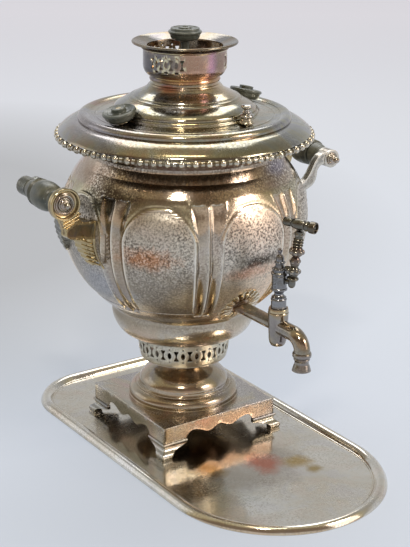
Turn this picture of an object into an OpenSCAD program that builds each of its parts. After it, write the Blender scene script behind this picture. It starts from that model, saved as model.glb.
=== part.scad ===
// Charcoal samovar on its tray: fluted urn body over a pierced gallery, a turned pedestal and
// a square plinth on four bracket feet, with a plug-cock tap in front and two turned handles.
// Millimetres, +Z up. The origin is on the urn's axis, on the surface that the tray stands on.
// The tap faces -Y and the handles are at +X and -X.

/* [Tray] */
// Half of the tray's width, and the radius of its round front end
tray_half = 127; // [120:1:140]
// Distance from the urn's axis to the middle of the tray's front curve
tray_front_centre = 178; // [165:1:200]
// Distance from the urn's axis to the tray's back edge
tray_back = 183; // [170:1:210]
// Radius of the tray's back corners
tray_corner_r = 77; // [40:1:100]
// Width of the raised rim
rim_w = 16; // [12:0.5:20]
// Height of the rim's crest above the surface
rim_h = 7.5; // [5:0.5:12]
// Thickness of the tray's sheet
tray_sheet = 1.2; // [0.8:0.1:2]

/* [Plinth and feet] */
// Half of the plinth's side
plinth_half = 77.4; // [72:0.2:84]
// Height of the plinth's sides, from the feet to the top sheet
plinth_h = 19.2; // [16:0.2:26]
// Height of the feet
foot_h = 17.5; // [12:0.5:24]
// Length of each foot along a side, from the plinth's corner
foot_run = 31; // [26:0.5:38]
// How far a foot's toe stands out from the plinth's side
foot_toe = 6; // [4:0.5:9]
// Thickness of the feet's cast walls
foot_wall = 3; // [2:0.25:4]
// Thickness of the sheet that the urn, plinth and pedestal are made of
sheet = 1.2; // [0.8:0.1:1.6]

/* [Pedestal and gallery] */
// Radius of the pedestal's bottom ring
pedestal_r = 65.5; // [60:0.5:70]
// Radius of the pedestal's neck
neck_r = 28.8; // [24:0.2:34]
// Height of the pedestal
pedestal_h = 51.3; // [44:0.5:64]
// Radius of the gallery's bottom edge
gallery_r = 51; // [49:0.5:54]
// Height of the pierced gallery
gallery_h = 30.2; // [28:0.2:38]
// Number of oval openings round the gallery
gallery_count = 21; // [15:1:22]

/* [Urn] */
// Radius of the urn where the bowl meets the body
waist_r = 84; // [78:0.5:90]
// Height of the bowl under the body
bowl_h = 34.8; // [30:0.2:42]
// Largest radius of the body
belly_r = 140.5; // [134:0.5:150]
// Height of the fluted body
body_h = 185; // [170:1:205]
// Radius of the urn's mouth
mouth_r = 110; // [104:0.5:116]
// Number of arched panels round the body
panel_count = 8; // [6:1:10]
// Half of the angle that a panel takes up, in degrees, at eight panels
panel_half_angle = 16.3; // [14:0.1:18]
// Depth of the flutes
flute_depth = 3.2; // [1.5:0.1:4.5]
// How far a panel's edge stands proud of the ground round it
panel_edge = 1.6; // [0.8:0.1:2.4]
// Height of the brim above the body's top
brim_h = 33.5; // [28:0.5:40]
// How far the ring of beads stands out past the body's largest radius
brim_over = 1.8; // [0.5:0.1:8]
// Radius of one bead
bead_r = 3.8; // [3:0.1:4.4]
// Number of beads
bead_count = 62; // [48:1:66]
// Radius of the fire tube at its foot
fire_r = 46; // [43:0.5:47]
// Radius of the chimney at its top
chimney_r = 31; // [28:0.25:32]
// Thickness of the grate
grate_t = 4; // [3:0.5:6]

/* [Lid and crown] */
// Radius of the lid's edge
lid_r = 119.5; // [116:0.5:124]
// Height of the lid, from its edge to the top of its neck
lid_h = 42.5; // [38:0.5:48]
// Radius of the lid's neck
lid_neck_r = 37.6; // [37.2:0.2:40]
// Distance of the lid's knobs and steam vent from the axis
lid_knob_reach = 88.5; // [84:0.5:92]
// Turn of the line through the two lid knobs, in degrees
lid_turn = 6; // [-20:1:20]
// Outward lean of the lid knobs, in degrees
lid_knob_lean = 14; // [6:1:18]
// Radius of the lid knobs
lid_knob_r = 18.5; // [15:0.5:21]
// Place of the steam vent round the lid, in degrees from the tap
vent_turn = 15; // [5:1:40]
// Radius of the crown's pierced wall
crown_r = 46.5; // [44:0.5:50]
// Height of the crown
crown_h = 43; // [40:0.5:50]
// Radius of the crown's saucer
saucer_r = 58.4; // [54:0.5:64]
// Radius of the chimney cap's knob
cap_knob_r = 18.5; // [15:0.5:22]
// Height of the chimney cap's knob above the saucer
cap_knob_rise = 16; // [12:0.5:24]

/* [Handles] */
// Distance from the urn's axis to the grips' axis
grip_reach = 178; // [172:1:190]
// Height of the grips' axis above the body's foot
grip_rise = 155; // [148:1:162]
// Radius of a grip's barrel
grip_r = 16; // [12:0.5:18]
// Length of a grip between its brackets
grip_len = 60; // [50:1:72]
// Thickness of a bracket's arm
arm_t = 8; // [6:0.5:12]
// Length of a plain bracket's round head along the rod
head_len = 15; // [12:0.5:20]
// Radius of the through rods
rod_r = 3; // [2.5:0.25:3.5]
// Radius of a dished bracket head
dish_r = 17.5; // [15:0.5:19]

/* [Tap] */
// Distance from the urn's axis to the tap key's axis
tap_reach = 180.5; // [176:0.5:196]
// Height of the tap's bore above the body's foot
tap_rise = 27; // [25:0.5:32]
// Radius of the tap's shank
shank_r = 7.2; // [6.4:0.1:8]
// Radius of the water way through the tap
bore_r = 3.5; // [2.5:0.1:4]
// Radius of the tap's barrel
barrel_r = 10.6; // [9.8:0.1:12]
// Radius of the key's plug where it leaves the barrel
plug_r = 7.4; // [6.4:0.1:7.8]
// Distance from the key's axis to the spout's mouth
spout_reach = 42; // [38:0.5:52]
// Radius of the bend in the spout
spout_bend = 16; // [14:0.5:20]
// Radius of the spout
spout_r = 8.6; // [7.5:0.1:9.5]
// Turn of the key's branch from the spout's direction, in degrees
key_turn = 22; // [-60:1:60]
// Distance from the key's axis to the middle of its crossbar
branch_reach = 21.5; // [20:0.5:26]
// Length of the crossbar on the key
crossbar_len = 34; // [26:1:40]

/* [Hidden] */

silver = "#b9ad97";
gilt = "#c2a468";
steel = "#8d8d90";
patina = "#3d4440";
iron = "#4a4644";

// Gap between pieces that lift or turn, and between parts of one body that only meet
running = 0.4;
seat_gap = 0.05;
// Turning clearance of the key in its barrel
key_gap = 0.06;
wide = belly_r * 3;

// Heights of each piece's foot above the origin
stand_z = tray_sheet;
plinth_z = stand_z + foot_h;
pedestal_z = plinth_z + plinth_h;
gallery_z = pedestal_z + pedestal_h;
bowl_z = gallery_z + gallery_h;
body_z = bowl_z + bowl_h;
mouth_z = body_z + body_h;
brim_z = mouth_z + brim_h;
crown_z = brim_z + lid_h;
saucer_z = crown_z + crown_h;
grip_z = body_z + grip_rise;
tap_z = body_z + tap_rise;

// ---- curves ----
function catmull(a, b, c, d, t) =
    0.5 * ((2 * b) + (c - a) * t + (2 * a - 5 * b + 4 * c - d) * t * t
           + (3 * b - a - 3 * c + d) * t * t * t);
function last(v) = v[len(v) - 1];
// A smooth line through the knots, with the given number of steps between two of them
function curve(k, steps = 3) =
    [for (i = [0:len(k) - 2], j = [0:steps - 1])
        catmull(k[max(i - 1, 0)], k[i], k[i + 1], k[min(i + 2, len(k) - 1)], j / steps),
     last(k)];
function normal(a, b) = let (d = b - a) [-d[1], d[0]] / norm(d);
// The line moved sideways by t, to the left of its direction
function beside(p, t) =
    [for (i = [0:len(p) - 1])
        let (n1 = normal(p[max(i - 1, 0)], p[max(i - 1, 0) + 1]),
             n2 = normal(p[min(i, len(p) - 2)], p[min(i, len(p) - 2) + 1]),
             n = (n1 + n2) / norm(n1 + n2))
        p[i] + n * t / max(0.6, n * n1)];
function reversed(v) = [for (i = [len(v) - 1:-1:0]) v[i]];
function strip(p, t) = concat(p, reversed(beside(p, t)));
function raised(p, z) = [for (q = p) [q[0], q[1] + z]];
function arc(c, r, from, to, n = 8) =
    [for (i = [0:n]) let (a = from + (to - from) * i / n) c + r * [cos(a), sin(a)]];

module turned(p) {
    rotate_extrude($fn = 96) polygon(p);
}
// A wall of sheet metal whose outside follows the line
module spun(p, t = sheet) {
    turned(strip(p, t));
}
// Turns what is modelled facing -Y to another side of the urn
module facing(angle) {
    rotate([0, 0, angle]) children();
}
// Extrudes an outline in X and Z along Y, from y0 to y1
module plate_xz(y0, y1) {
    translate([0, y1, 0]) rotate([90, 0, 0]) linear_extrude(y1 - y0) children();
}
// Extrudes an outline in Y and Z along X, from x0 to x1
module plate_yz(x0, x1) {
    translate([x0, 0, 0]) rotate([90, 0, 90]) linear_extrude(x1 - x0) children();
}

// ---- tray ----
tray_well = tray_half - rim_w;
tray_back_centre = tray_back - tray_corner_r;
tray_corner_x = tray_half - tray_corner_r;
tray_corner_well = tray_corner_r - rim_w;
tray_side = tray_front_centre + tray_back_centre;

function rim_crest() =
    curve([[0, tray_sheet], [rim_w * 0.14, rim_h * 0.5], [rim_w * 0.36, rim_h * 0.93],
           [rim_w * 0.6, rim_h], [rim_w * 0.82, rim_h * 0.75], [rim_w * 0.96, rim_h * 0.3],
           [rim_w, 0]], 2);
module rim_section() {
    crest = rim_crest();
    under = [for (q = beside(crest, -tray_sheet)) [max(q[0], 0), max(q[1], 0)]];
    polygon(concat(crest, reversed(under)));
}
module tray_half_rim() {
    translate([tray_well, tray_back_centre, 0]) rotate([90, 0, 0])
        linear_extrude(tray_side) rim_section();
    translate([tray_corner_x, tray_back_centre, 0])
        rotate_extrude(angle = 90, $fn = 96) translate([tray_corner_well, 0]) rim_section();
}
module tray() {
    color(silver) {
        linear_extrude(tray_sheet) {
            translate([0, -tray_front_centre]) circle(tray_well, $fn = 96);
            translate([-tray_well, -tray_front_centre]) square([2 * tray_well, tray_side]);
            for (s = [-1, 1])
                translate([s * tray_corner_x, tray_back_centre])
                    circle(tray_corner_well, $fn = 96);
            translate([-tray_corner_x, 0]) square([2 * tray_corner_x, tray_back - rim_w]);
        }
        translate([0, -tray_front_centre, 0]) rotate([0, 0, 180])
            rotate_extrude(angle = 180, $fn = 96) translate([tray_well, 0]) rim_section();
        tray_half_rim();
        mirror([1, 0, 0]) tray_half_rim();
        translate([-tray_corner_x, tray_back - rim_w, 0]) rotate([90, 0, 90])
            linear_extrude(2 * tray_corner_x) rim_section();
    }
}

// ---- plinth and feet ----
foot_edge = plinth_half - foot_run;
apron_rise = plinth_h * 0.42;

// Lower edge of a side: a tall arch beside each foot, two drops and a small middle arch
function apron_edge() =
    let (w = foot_edge, h = apron_rise)
    concat([[w, -1]],
           curve([[w, 0], [w - 3, h * 0.62], [w * 0.82, h], [w * 0.62, h * 0.8],
                  [w * 0.42, h * 0.24], [w * 0.3, h * 0.16], [w * 0.17, h * 0.45], [0, h * 0.86],
                  [-w * 0.17, h * 0.45], [-w * 0.3, h * 0.16], [-w * 0.42, h * 0.24],
                  [-w * 0.62, h * 0.8], [-w * 0.82, h], [3 - w, h * 0.62], [-w, 0]], 2),
           [[-w, -1]]);
module apron_cut() {
    translate([0, plinth_z]) polygon(apron_edge());
}
module plinth() {
    inside = plinth_half - sheet;
    color(silver)
    difference() {
        translate([-plinth_half, -plinth_half, plinth_z])
            cube([2 * plinth_half, 2 * plinth_half, plinth_h]);
        translate([-inside, -inside, plinth_z - 1])
            cube([2 * inside, 2 * inside, plinth_h + 1 - sheet]);
        translate([0, 0, plinth_z]) cylinder(r = pedestal_r - 9, h = plinth_h + 1, $fn = 96);
        plate_xz(-wide, wide) apron_cut();
        plate_yz(-wide, wide) apron_cut();
    }
}

// Ogee outline of a foot seen from the end of a side: ledge, cove, knee and toe
function foot_ogee() =
    let (p = plinth_half, t = foot_toe, h = foot_h)
    concat([[p + t * 0.25, h], [p + t * 0.35, h * 0.92], [p + t * 0.25, h * 0.84]],
           curve([[p + t * 0.1, h * 0.8], [p, h * 0.66], [p + t * 0.25, h * 0.5],
                  [p + t * 0.8, h * 0.36], [p + t, h * 0.22], [p + t * 0.9, h * 0.08],
                  [p + t * 0.8, 0]], 2));
module foot_block() {
    right = foot_ogee();
    left = [for (q = reversed(right)) [-q[0], q[1]]];
    whole = raised(concat(right, left), stand_z);
    intersection() {
        plate_xz(-wide, wide) polygon(whole);
        plate_yz(-wide, wide) polygon(whole);
    }
}
// What is cut from under a foot's wing, beside its toe
module foot_wing_cut() {
    reach = plinth_half;
    run = foot_run;
    h = foot_h;
    polygon(raised(concat([[foot_edge - 1, -1], [foot_edge - 1, h * 0.72]],
        curve([[foot_edge, h * 0.72], [reach - run * 0.78, h * 0.58],
               [reach - run * 0.56, h * 0.5], [reach - run * 0.36, h * 0.4],
               [reach - run * 0.26, h * 0.22], [reach - run * 0.24, 0]], 2),
        [[reach - run * 0.24, -1]]), stand_z));
}
module foot(sx, sy) {
    span = foot_run + 2 * foot_toe;
    hollow = plinth_half - foot_wall;
    color(silver)
    mirror([sx < 0 ? 1 : 0, 0, 0]) mirror([0, sy < 0 ? 1 : 0, 0])
    difference() {
        intersection() {
            foot_block();
            translate([foot_edge, foot_edge, 0]) cube([span, span, plinth_z]);
        }
        translate([0, 0, -1]) cube([hollow, hollow, plinth_z + 2]);
        plate_xz(0, wide) foot_wing_cut();
        plate_yz(0, wide) foot_wing_cut();
    }
}

// ---- pedestal ----
function pedestal_line() =
    let (r = pedestal_r, n = neck_r, h = pedestal_h, g = gallery_r, c = r * 0.81)
    concat([[r, 0], [r, h * 0.035], [r - 1.3, h * 0.045]],
           curve([[r - 1.3, h * 0.05], [r - 0.9, h * 0.1], [r - 2, h * 0.17],
                  [r - 5, h * 0.235], [r - 9.5, h * 0.275], [c, h * 0.285]], 2),
           curve([[c - 0.6, h * 0.31], [c - 1, h * 0.41], [n + (c - n) * 0.86, h * 0.5],
                  [n + (c - n) * 0.67, h * 0.59], [n + (c - n) * 0.46, h * 0.66],
                  [n + (c - n) * 0.24, h * 0.72], [n + (c - n) * 0.07, h * 0.79],
                  [n, h * 0.86], [n + (g - n) * 0.08, h * 0.91], [n + (g - n) * 0.3, h * 0.95],
                  [g - 6, h - sheet]], 2),
           [[g, h - sheet]]);
module pedestal() {
    color(silver) translate([0, 0, pedestal_z]) spun(pedestal_line());
}

// ---- pierced gallery ----
gallery_top_r = gallery_r + 3.2;
bowl_seat_r = gallery_r + 7;
gallery_pitch = 2 * PI * gallery_r / gallery_count;

// A pointed oval, w wide and h high
module pointed_oval(w, h) {
    r = (w * w + h * h) / (4 * w);
    intersection() {
        translate([r - w / 2, 0]) circle(r, $fn = 48);
        translate([w / 2 - r, 0]) circle(r, $fn = 48);
    }
}
// An upright bar that is wide at both ends and narrow in the middle
module waisted_bar(w, h, middle) {
    side = curve([[w / 2, -h / 2], [w / 2, -h * 0.38], [middle / 2, -h * 0.14],
                  [middle / 2, h * 0.14], [w / 2, h * 0.38], [w / 2, h / 2]], 2);
    polygon(concat(side, [for (q = reversed(side)) [-q[0], q[1]]]));
}
// Cuts an outline through a wall of radius r, facing -Y
module piercing(r) {
    rotate([90, 0, 0]) translate([0, 0, r - 6]) linear_extrude(12) children();
}
function gallery_line() =
    let (r = gallery_r, h = gallery_h)
    concat(curve([[r, 0], [r + 1.6, h * 0.22], [r + 2.6, h * 0.52],
                  [gallery_top_r, h * 0.86], [gallery_top_r + 0.6, h - sheet]], 2),
           [[bowl_seat_r - 1, h - sheet], [bowl_seat_r - 1, h]]);
module lower_gallery() {
    line = gallery_line();
    middle = gallery_h * 0.47;
    tall = gallery_h * 0.42;
    wall = concat(line, [[fire_r, gallery_h], [fire_r, gallery_h - sheet]],
                  reversed(beside([for (i = [0:8]) line[i]], sheet)));
    color(gilt) translate([0, 0, gallery_z])
    difference() {
        turned(wall);
        for (i = [0:gallery_count - 1]) {
            facing(i * 360 / gallery_count) piercing(gallery_r) translate([0, middle]) {
                pointed_oval(gallery_pitch * 0.31, tall * 0.7);
                for (s = [-1, 1]) translate([0, s * tall * 0.62]) circle(1, $fn = 16);
            }
            facing((i + 0.5) * 360 / gallery_count) piercing(gallery_r)
                translate([0, middle])
                waisted_bar(gallery_pitch * 0.36, tall, gallery_pitch * 0.13);
        }
    }
}

// ---- urn: bowl and body ----
function bowl_line() =
    let (a = bowl_seat_r, b = waist_r, h = bowl_h)
    concat([[fire_r + 1, 0]],
           curve([[a, 0], [a + (b - a) * 0.3, 0.025 * h], [a + (b - a) * 0.5, 0.09 * h],
                  [a + (b - a) * 0.75, 0.25 * h], [a + (b - a) * 0.93, 0.51 * h],
                  [b, 0.77 * h], [b - 0.2, 0.94 * h], [b - 0.4, h]], 2));
module bowl() {
    color(silver) translate([0, 0, bowl_z]) spun(bowl_line());
}

// Outline of the body: its share of the way from waist or mouth out to the belly
body_low = [[0, 0], [0.022, 0.035], [0.054, 0.159], [0.108, 0.354], [0.189, 0.584],
            [0.276, 0.761], [0.362, 0.885], [0.449, 0.965], [0.535, 1]];
body_high = [[0.622, 1], [0.708, 0.918], [0.778, 0.754], [0.838, 0.525], [0.892, 0.262],
             [0.946, 0.066], [1, 0]];
function body_knots() =
    concat([for (q = body_low) [waist_r + (belly_r - waist_r) * q[1], body_h * q[0]]],
           [for (q = body_high) [mouth_r + (belly_r - mouth_r) * q[1], body_h * q[0]]]);
function body_line() = curve(body_knots(), 2);
body_table = [for (q = body_line()) [q[1], q[0]]];
// Radius of the body at a height above its foot
function body_r_at(z) = lookup(z, body_table);

// Thickness of the body's wall, measured level
body_wall = 1.5 * sheet;
arch_foot = 0.59;
arch_top = 0.797;
flute_foot = 0.1;
flute_top = 0.825;
panel_pitch = 360 / panel_count;
panel_half = panel_half_angle * 8 / panel_count;
// Half angle of a panel at a share of the body's height: straight sides under a round arch
function panel_edge_at(t) =
    let (u = (t - arch_foot) / (arch_top - arch_foot))
    t <= arch_foot ? panel_half : panel_half * (u < 1 ? sqrt(1 - u * u) : 0);
// Angle of the flutes' outer edge, which leans in a little above the arch's foot
function flute_edge_at(t) =
    panel_half + 0.6 - (t > arch_foot ? 2.6 * (t - arch_foot) / (flute_top - arch_foot) : 0);
function ramp(x, a, b) = min(1, max(0, (x - a) / (b - a)));
function fade(t) = sin(90 * ramp(t, flute_foot, flute_foot + 0.06))
                   * sin(90 * ramp(flute_top - t, 0, 0.05));

// Angles of one half pitch, from a panel's middle to the ridge between two flutes
function half_columns(t) =
    let (w = max(panel_edge_at(t), 0.8), f = max(flute_edge_at(t), w + 0.6), e = panel_pitch / 2)
    [[0, 0], [w * 0.55, 0], [w, 0],
     [min(w + 0.9, (w + f) / 2), -panel_edge * fade(t) * ramp(f - w, 0.6, 1.6)],
     [f, 0], [f + (e - f) * 0.25, -flute_depth * 0.75 * fade(t)],
     [f + (e - f) * 0.5, -flute_depth * fade(t)],
     [f + (e - f) * 0.75, -flute_depth * 0.75 * fade(t)], [e, 0]];
function ring_at(t, inset) =
    let (h = half_columns(t), n = len(h), r = body_r_at(t * body_h) - inset,
         one = concat([for (q = h) q], [for (i = [n - 2:-1:1]) [panel_pitch - h[i][0], h[i][1]]]))
    [for (k = [0:panel_count - 1], q = one)
        let (a = k * panel_pitch + q[0]) [(r + q[1]) * sin(a), -(r + q[1]) * cos(a), t * body_h]];
body_rows = [0, 0.022, 0.054, 0.1, 0.125, 0.16, 0.21, 0.276, 0.362, 0.449, 0.535, 0.59, 0.645,
             0.7, 0.74, 0.765, 0.785, 0.8, 0.825, 0.86, 0.9, 0.946, 1];
inner_rows = [0, 0.054, 0.1, 0.16, 0.276, 0.362, 0.449, 0.535, 0.645, 0.74, 0.8, 0.825, 0.9, 1];
// The wall: one skin outside from foot to mouth, and one inside from mouth to foot
module fluted_wall() {
    rings = concat([for (t = body_rows) ring_at(t, 0)],
                   [for (t = reversed(inner_rows)) ring_at(t, body_wall)]);
    n = len(rings[0]);
    m = len(rings);
    polyhedron([for (r = rings, q = r) q],
               [for (j = [0:m - 1], i = [0:n - 1], half = [0, 1])
                   let (k = (j + 1) % m, e = (i + 1) % n, a = j * n + i, b = j * n + e,
                        c = k * n + i, d = k * n + e)
                   half == 0 ? [a, c, b] : [b, c, d]]);
}
// The urn's plain outline, grown by a gap, from which the fittings' feet are cut
module urn_core(gap) {
    line = body_line();
    turned(concat([[0, -bowl_h], [waist_r + gap, -bowl_h]],
                  [for (q = beside(line, -gap)) q], [[0, body_h]]));
}
module body_shell() {
    color(silver) translate([0, 0, body_z])
    difference() {
        fluted_wall();
        translate([0, 0, tap_rise]) rotate([90, 0, 0])
            cylinder(r = shank_r + seat_gap, h = wide, $fn = 48);
    }
}

// ---- brim ----
bead_ring_r = belly_r + brim_over;
brim_edge_r = bead_ring_r - 0.3;
brim_drop = 13.8;
function brim_line() =
    let (a = lid_r + 1, b = brim_edge_r, d = brim_drop)
    concat([[b, -d]],
           curve([[b, 0.6 - d], [b - 1.5, -d * 0.84], [a + (b - a) * 0.8, -d * 0.58],
                  [a + (b - a) * 0.5, -d * 0.24], [a + (b - a) * 0.2, -d * 0.05], [a, 0]], 2),
           [[mouth_r, 0]]);
module brim() {
    color(silver) translate([0, 0, brim_z]) {
        spun(brim_line());
        turned([[mouth_r, -brim_h], [mouth_r, 0], [mouth_r - sheet, 0],
                [mouth_r - sheet, -brim_h]]);
    }
}
// Balls on the underside of a flat ring
module brim_beads() {
    half = bead_r * 0.74;
    top = bead_r + 0.15;
    color(silver) translate([0, 0, brim_z - brim_drop - top - seat_gap]) {
        turned([[bead_ring_r - half, half], [bead_ring_r + half, half],
                [bead_ring_r + half, top], [bead_ring_r - half, top]]);
        for (i = [0:bead_count - 1]) facing(i * 360 / bead_count)
            translate([0, -bead_ring_r, 0]) sphere(bead_r, $fn = 16);
    }
}

// ---- fire tube and grate ----
function fire_line() =
    let (a = fire_r, b = chimney_r, h = crown_z + 14 - bowl_z - sheet)
    concat([[a + 4, 0], [a + 4, sheet], [a - sheet, sheet]],
           curve([[a - sheet, 1.5 * sheet], [a - 0.1 * (a - b), h * 0.26],
                  [a - 0.35 * (a - b), h * 0.52], [a - 0.8 * (a - b), h * 0.74],
                  [b, h * 0.86]], 3), [[b, h]]);
chimney_top = crown_z + 14;
module fire_tube() {
    line = fire_line();
    inner = beside([for (i = [3:len(line) - 1]) line[i]], sheet);
    color(iron) translate([0, 0, bowl_z + sheet])
        turned(concat(line, reversed(inner),
                      [[fire_r - 2 * sheet, sheet], [fire_r - 6, sheet], [fire_r - 6, 0]]));
}
module grate() {
    r = fire_r - 2 * sheet - running;
    hole = r * 0.085;
    color(iron) translate([0, 0, bowl_z + 2 * sheet])
    difference() {
        cylinder(r = r, h = grate_t, $fn = 64);
        for (ring = [[0, 1], [0.3, 6], [0.58, 12], [0.82, 16]], i = [0:ring[1] - 1])
            facing(i * 360 / ring[1]) translate([0, -ring[0] * r, -1])
                cylinder(r = hole, h = grate_t + 2, $fn = 24);
    }
}

// ---- lid ----
lid_flat = lid_h * 0.14;
function lid_line() =
    let (r = lid_r, n = lid_neck_r, h = lid_h, k = lid_knob_reach, s = k - 8)
    concat([[r, 0]],
           curve([[r, sheet], [r - 0.8, h * 0.08], [r - 4, h * 0.16], [r - 8, h * 0.17],
                  [r - 13, h * 0.13], [r - 18, h * 0.11], [k, lid_flat], [s, lid_flat + 1.2]], 2),
           curve([[s - 0.5, h * 0.2], [s - 1, h * 0.28], [s - 3.5, h * 0.36], [s - 8, h * 0.44],
                  [n + (s - n) * 0.55, h * 0.56], [n + (s - n) * 0.48, h * 0.6]], 2),
           curve([[n + (s - n) * 0.47, h * 0.64], [n + (s - n) * 0.33, h * 0.7],
                  [n + (s - n) * 0.18, h * 0.76], [n + (s - n) * 0.06, h * 0.84],
                  [n, h * 0.92]], 2), [[n, h]]);
module on_lid(angle, lean = 0) {
    facing(angle) translate([0, -lid_knob_reach, brim_z + lid_flat])
        rotate([lean, 0, 0]) children();
}
post_r = 3;
module lid() {
    skirt_r = mouth_r - sheet - running;
    color(silver)
    difference() {
        translate([0, 0, brim_z]) {
            spun(lid_line());
            turned([[skirt_r, -8], [skirt_r, 5.4], [skirt_r - sheet, 5.4], [skirt_r - sheet, -8]]);
        }
        for (s = [-90, 90]) on_lid(s + lid_turn, lid_knob_lean)
            translate([0, 0, -8]) cylinder(r = post_r + seat_gap, h = 16, $fn = 32);
        on_lid(vent_turn) translate([0, 0, -8]) cylinder(r = post_r + seat_gap, h = 16, $fn = 32);
    }
}
knob_lift = 6;
module lid_knob_posts() {
    color(gilt)
    for (s = [-90, 90]) on_lid(s + lid_turn, lid_knob_lean) {
        translate([0, 0, -5]) cylinder(r = post_r, h = 22, $fn = 32);
        translate([0, 0, -6.5]) cylinder(r = 6.5, h = 2.4, $fn = 6);
        turned([[0, 1.5], [9, 1.5], [8, 3], [6.5, 4], [6.5, knob_lift], [0, knob_lift]]);
    }
}
// Dished wooden knob with a raised rim and a button in the middle
module lid_knob(side) {
    r = lid_knob_r;
    z = knob_lift;
    bottom = [[post_r + seat_gap, z], [r * 0.68, z]];
    edge = curve([[r * 0.72, z + 0.6], [r * 0.86, z + 4], [r * 0.97, z + 6.2], [r, z + 7.2],
                  [r * 0.97, z + 8.3], [r * 0.9, z + 8.4], [r * 0.84, z + 7.4]], 2);
    dish = [[r * 0.5, z + 7], [r * 0.43, z + 7.6], [r * 0.42, z + 10], [r * 0.44, z + 10.6],
            [r * 0.42, z + 11.6], [r * 0.36, z + 11.9], [r * 0.3, z + 11.2],
            [post_r + seat_gap, z + 11.2]];
    color(patina) on_lid(side * 90 + lid_turn, lid_knob_lean) turned(concat(bottom, edge, dish));
}

// ---- steam vent ----
vent_r = 7.5;
vent_seat_h = 6;
vent_way_r = 1.4;
module steam_vent_seat() {
    color(gilt) on_lid(vent_turn)
        turned([[vent_way_r, -4], [post_r, -4], [post_r, 1.4], [vent_r + 0.8, 1.4],
                [vent_r + 0.8, 2], [vent_r, 2.6], [vent_r, 3.6], [vent_r - 1.2, 4.4],
                [vent_r - 1.6, vent_seat_h], [vent_way_r, vent_seat_h]]);
}
module steam_vent_cap() {
    z = vent_seat_h + running;
    color(silver) on_lid(vent_turn)
        turned(concat([[0, z - 3], [vent_way_r - 0.3, z - 3], [vent_way_r - 0.3, z]],
                      curve([[6.4, z], [7.9, z + 1.6], [7.6, z + 3.4], [5.2, z + 5]], 3),
                      [[4, z + 5.4], [5, z + 6], [5, z + 6.8], [3.6, z + 7.4]],
                      curve([[3.2, z + 8.4], [3.4, z + 9.6], [5.2, z + 11], [6.2, z + 12.2],
                             [6, z + 13.4], [4.2, z + 14.4], [0, z + 15]], 2)));
}

// ---- crown that the teapot stands on ----
crown_panel = 51;
crown_hole_r = lid_neck_r - sheet;
function crown_line() =
    let (r = crown_r, n = lid_neck_r + 0.3, h = crown_h)
    concat([[n + 0.9, 0]],
           curve([[n + 1.2, 0.6], [n + 1.6, h * 0.04], [n + 0.8, h * 0.09], [n, h * 0.115]], 2),
           curve([[n + 0.8, h * 0.125], [n + (r - n) * 0.5, h * 0.16], [r - 1.6, h * 0.24],
                  [r - 0.3, h * 0.33], [r, h * 0.42], [r, h * 0.79], [r + 1.8, h * 0.815],
                  [r + 1.6, h * 0.84], [r + 0.2, h * 0.86]], 2));
module crown_piercings() {
    middle = crown_h * 0.53;
    tall = crown_h * 0.27;
    step = crown_panel / 3.4;
    for (i = [-1, 0, 1]) facing(i * step) piercing(crown_r) translate([0, middle]) {
        pointed_oval(3.6, tall * 0.72);
        translate([0, tall * 0.66]) circle(0.9, $fn = 16);
        translate([0, -tall * 0.72]) waisted_bar(5, 2.4, 4);
    }
    for (i = [-1.5, -0.5, 0.5, 1.5]) facing(i * step) piercing(crown_r)
        translate([0, middle]) waisted_bar(4.2, tall, 1.6);
}
module crown_wall() {
    line = crown_line();
    top = last(line);
    inner = beside([for (q = line) if (q[1] > crown_h * 0.13 && q[1] < crown_h * 0.8) q], sheet);
    color(silver) translate([0, 0, crown_z])
    difference() {
        turned(concat(line, [[crown_r - sheet, top[1]]], reversed(inner),
                      [[crown_hole_r, crown_h * 0.13], [crown_hole_r, 0]]));
        for (k = [-60, 60, 180]) facing(k) crown_piercings();
    }
}
// Saucer: rises outward under a rounded lip and falls to a wide hole
module crown_saucer() {
    r = saucer_r;
    c = crown_r;
    h = crown_h;
    under = curve([[c + 0.2, h * 0.865], [c + 2.5, h * 0.89], [c + (r - c) * 0.6, h * 0.93],
                   [r - 1, h * 0.965], [r, h * 0.985], [r - 0.3, h], [r - 1.2, h]], 2);
    top = [[c + (r - c) * 0.5, h * 0.965], [c - 2, h * 0.905], [c - 4.4, h * 0.88],
           [c - 4.4, h * 0.865]];
    color(silver) translate([0, 0, crown_z]) turned(concat(under, top));
}

// ---- chimney cap ----
cap_r = chimney_r + 2.5;
cap_z = chimney_top;
module chimney_cap() {
    color(iron) translate([0, 0, cap_z])
        turned([[0, 0], [cap_r, 0], [cap_r, 0.6], [cap_r - 1.4, sheet + 0.4], [0, sheet + 0.4]]);
}
module chimney_cap_knob() {
    r = cap_knob_r;
    foot = cap_z + sheet + 0.4;
    top = saucer_z + cap_knob_rise;
    z = top - 15;
    color(patina)
        turned(concat([[0, foot], [7, foot], [6.5, foot + 1.6], [5, foot + 3], [4.6, z - 4],
                       [5.4, z - 1], [r * 0.5, z]],
                      curve([[r * 0.55, z + 0.4], [r * 0.8, z + 4.6], [r * 0.97, z + 7.6],
                             [r, z + 8.8], [r * 0.95, z + 9.8]], 2),
                      [[r * 0.87, z + 10.2], [r * 0.87, z + 12], [r * 0.83, z + 12.8],
                       [r * 0.7, z + 12.8], [r * 0.66, z + 12.2], [r * 0.4, z + 12.2],
                       [r * 0.38, z + 13.4], [r * 0.3, z + 14], [r * 0.16, z + 14],
                       [r * 0.14, top], [0, top]]));
}

// ---- handles ----
// Everything here is drawn for the handle at +X, and mirrored to -X
head_r = 10;
head_y = grip_len / 2;
arm_y = head_y;
finial_h = 12;
arm_front = arm_y + head_len;
head_face = arm_front + 1;
dish_t = 8;
dish_floor = head_face - 4.5;
grip_neck_r = 11;
// How far the pad's top lies below the grip's axis, and the wall's radius there
pad_drop = 29;
arm_wall = body_r_at(grip_rise - pad_drop);
arm_root = 11;
// Distance from the urn's axis at a share of the way from the wall to the grip's axis
function arm_x(share) = arm_wall + share * (grip_reach - arm_wall);
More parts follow.
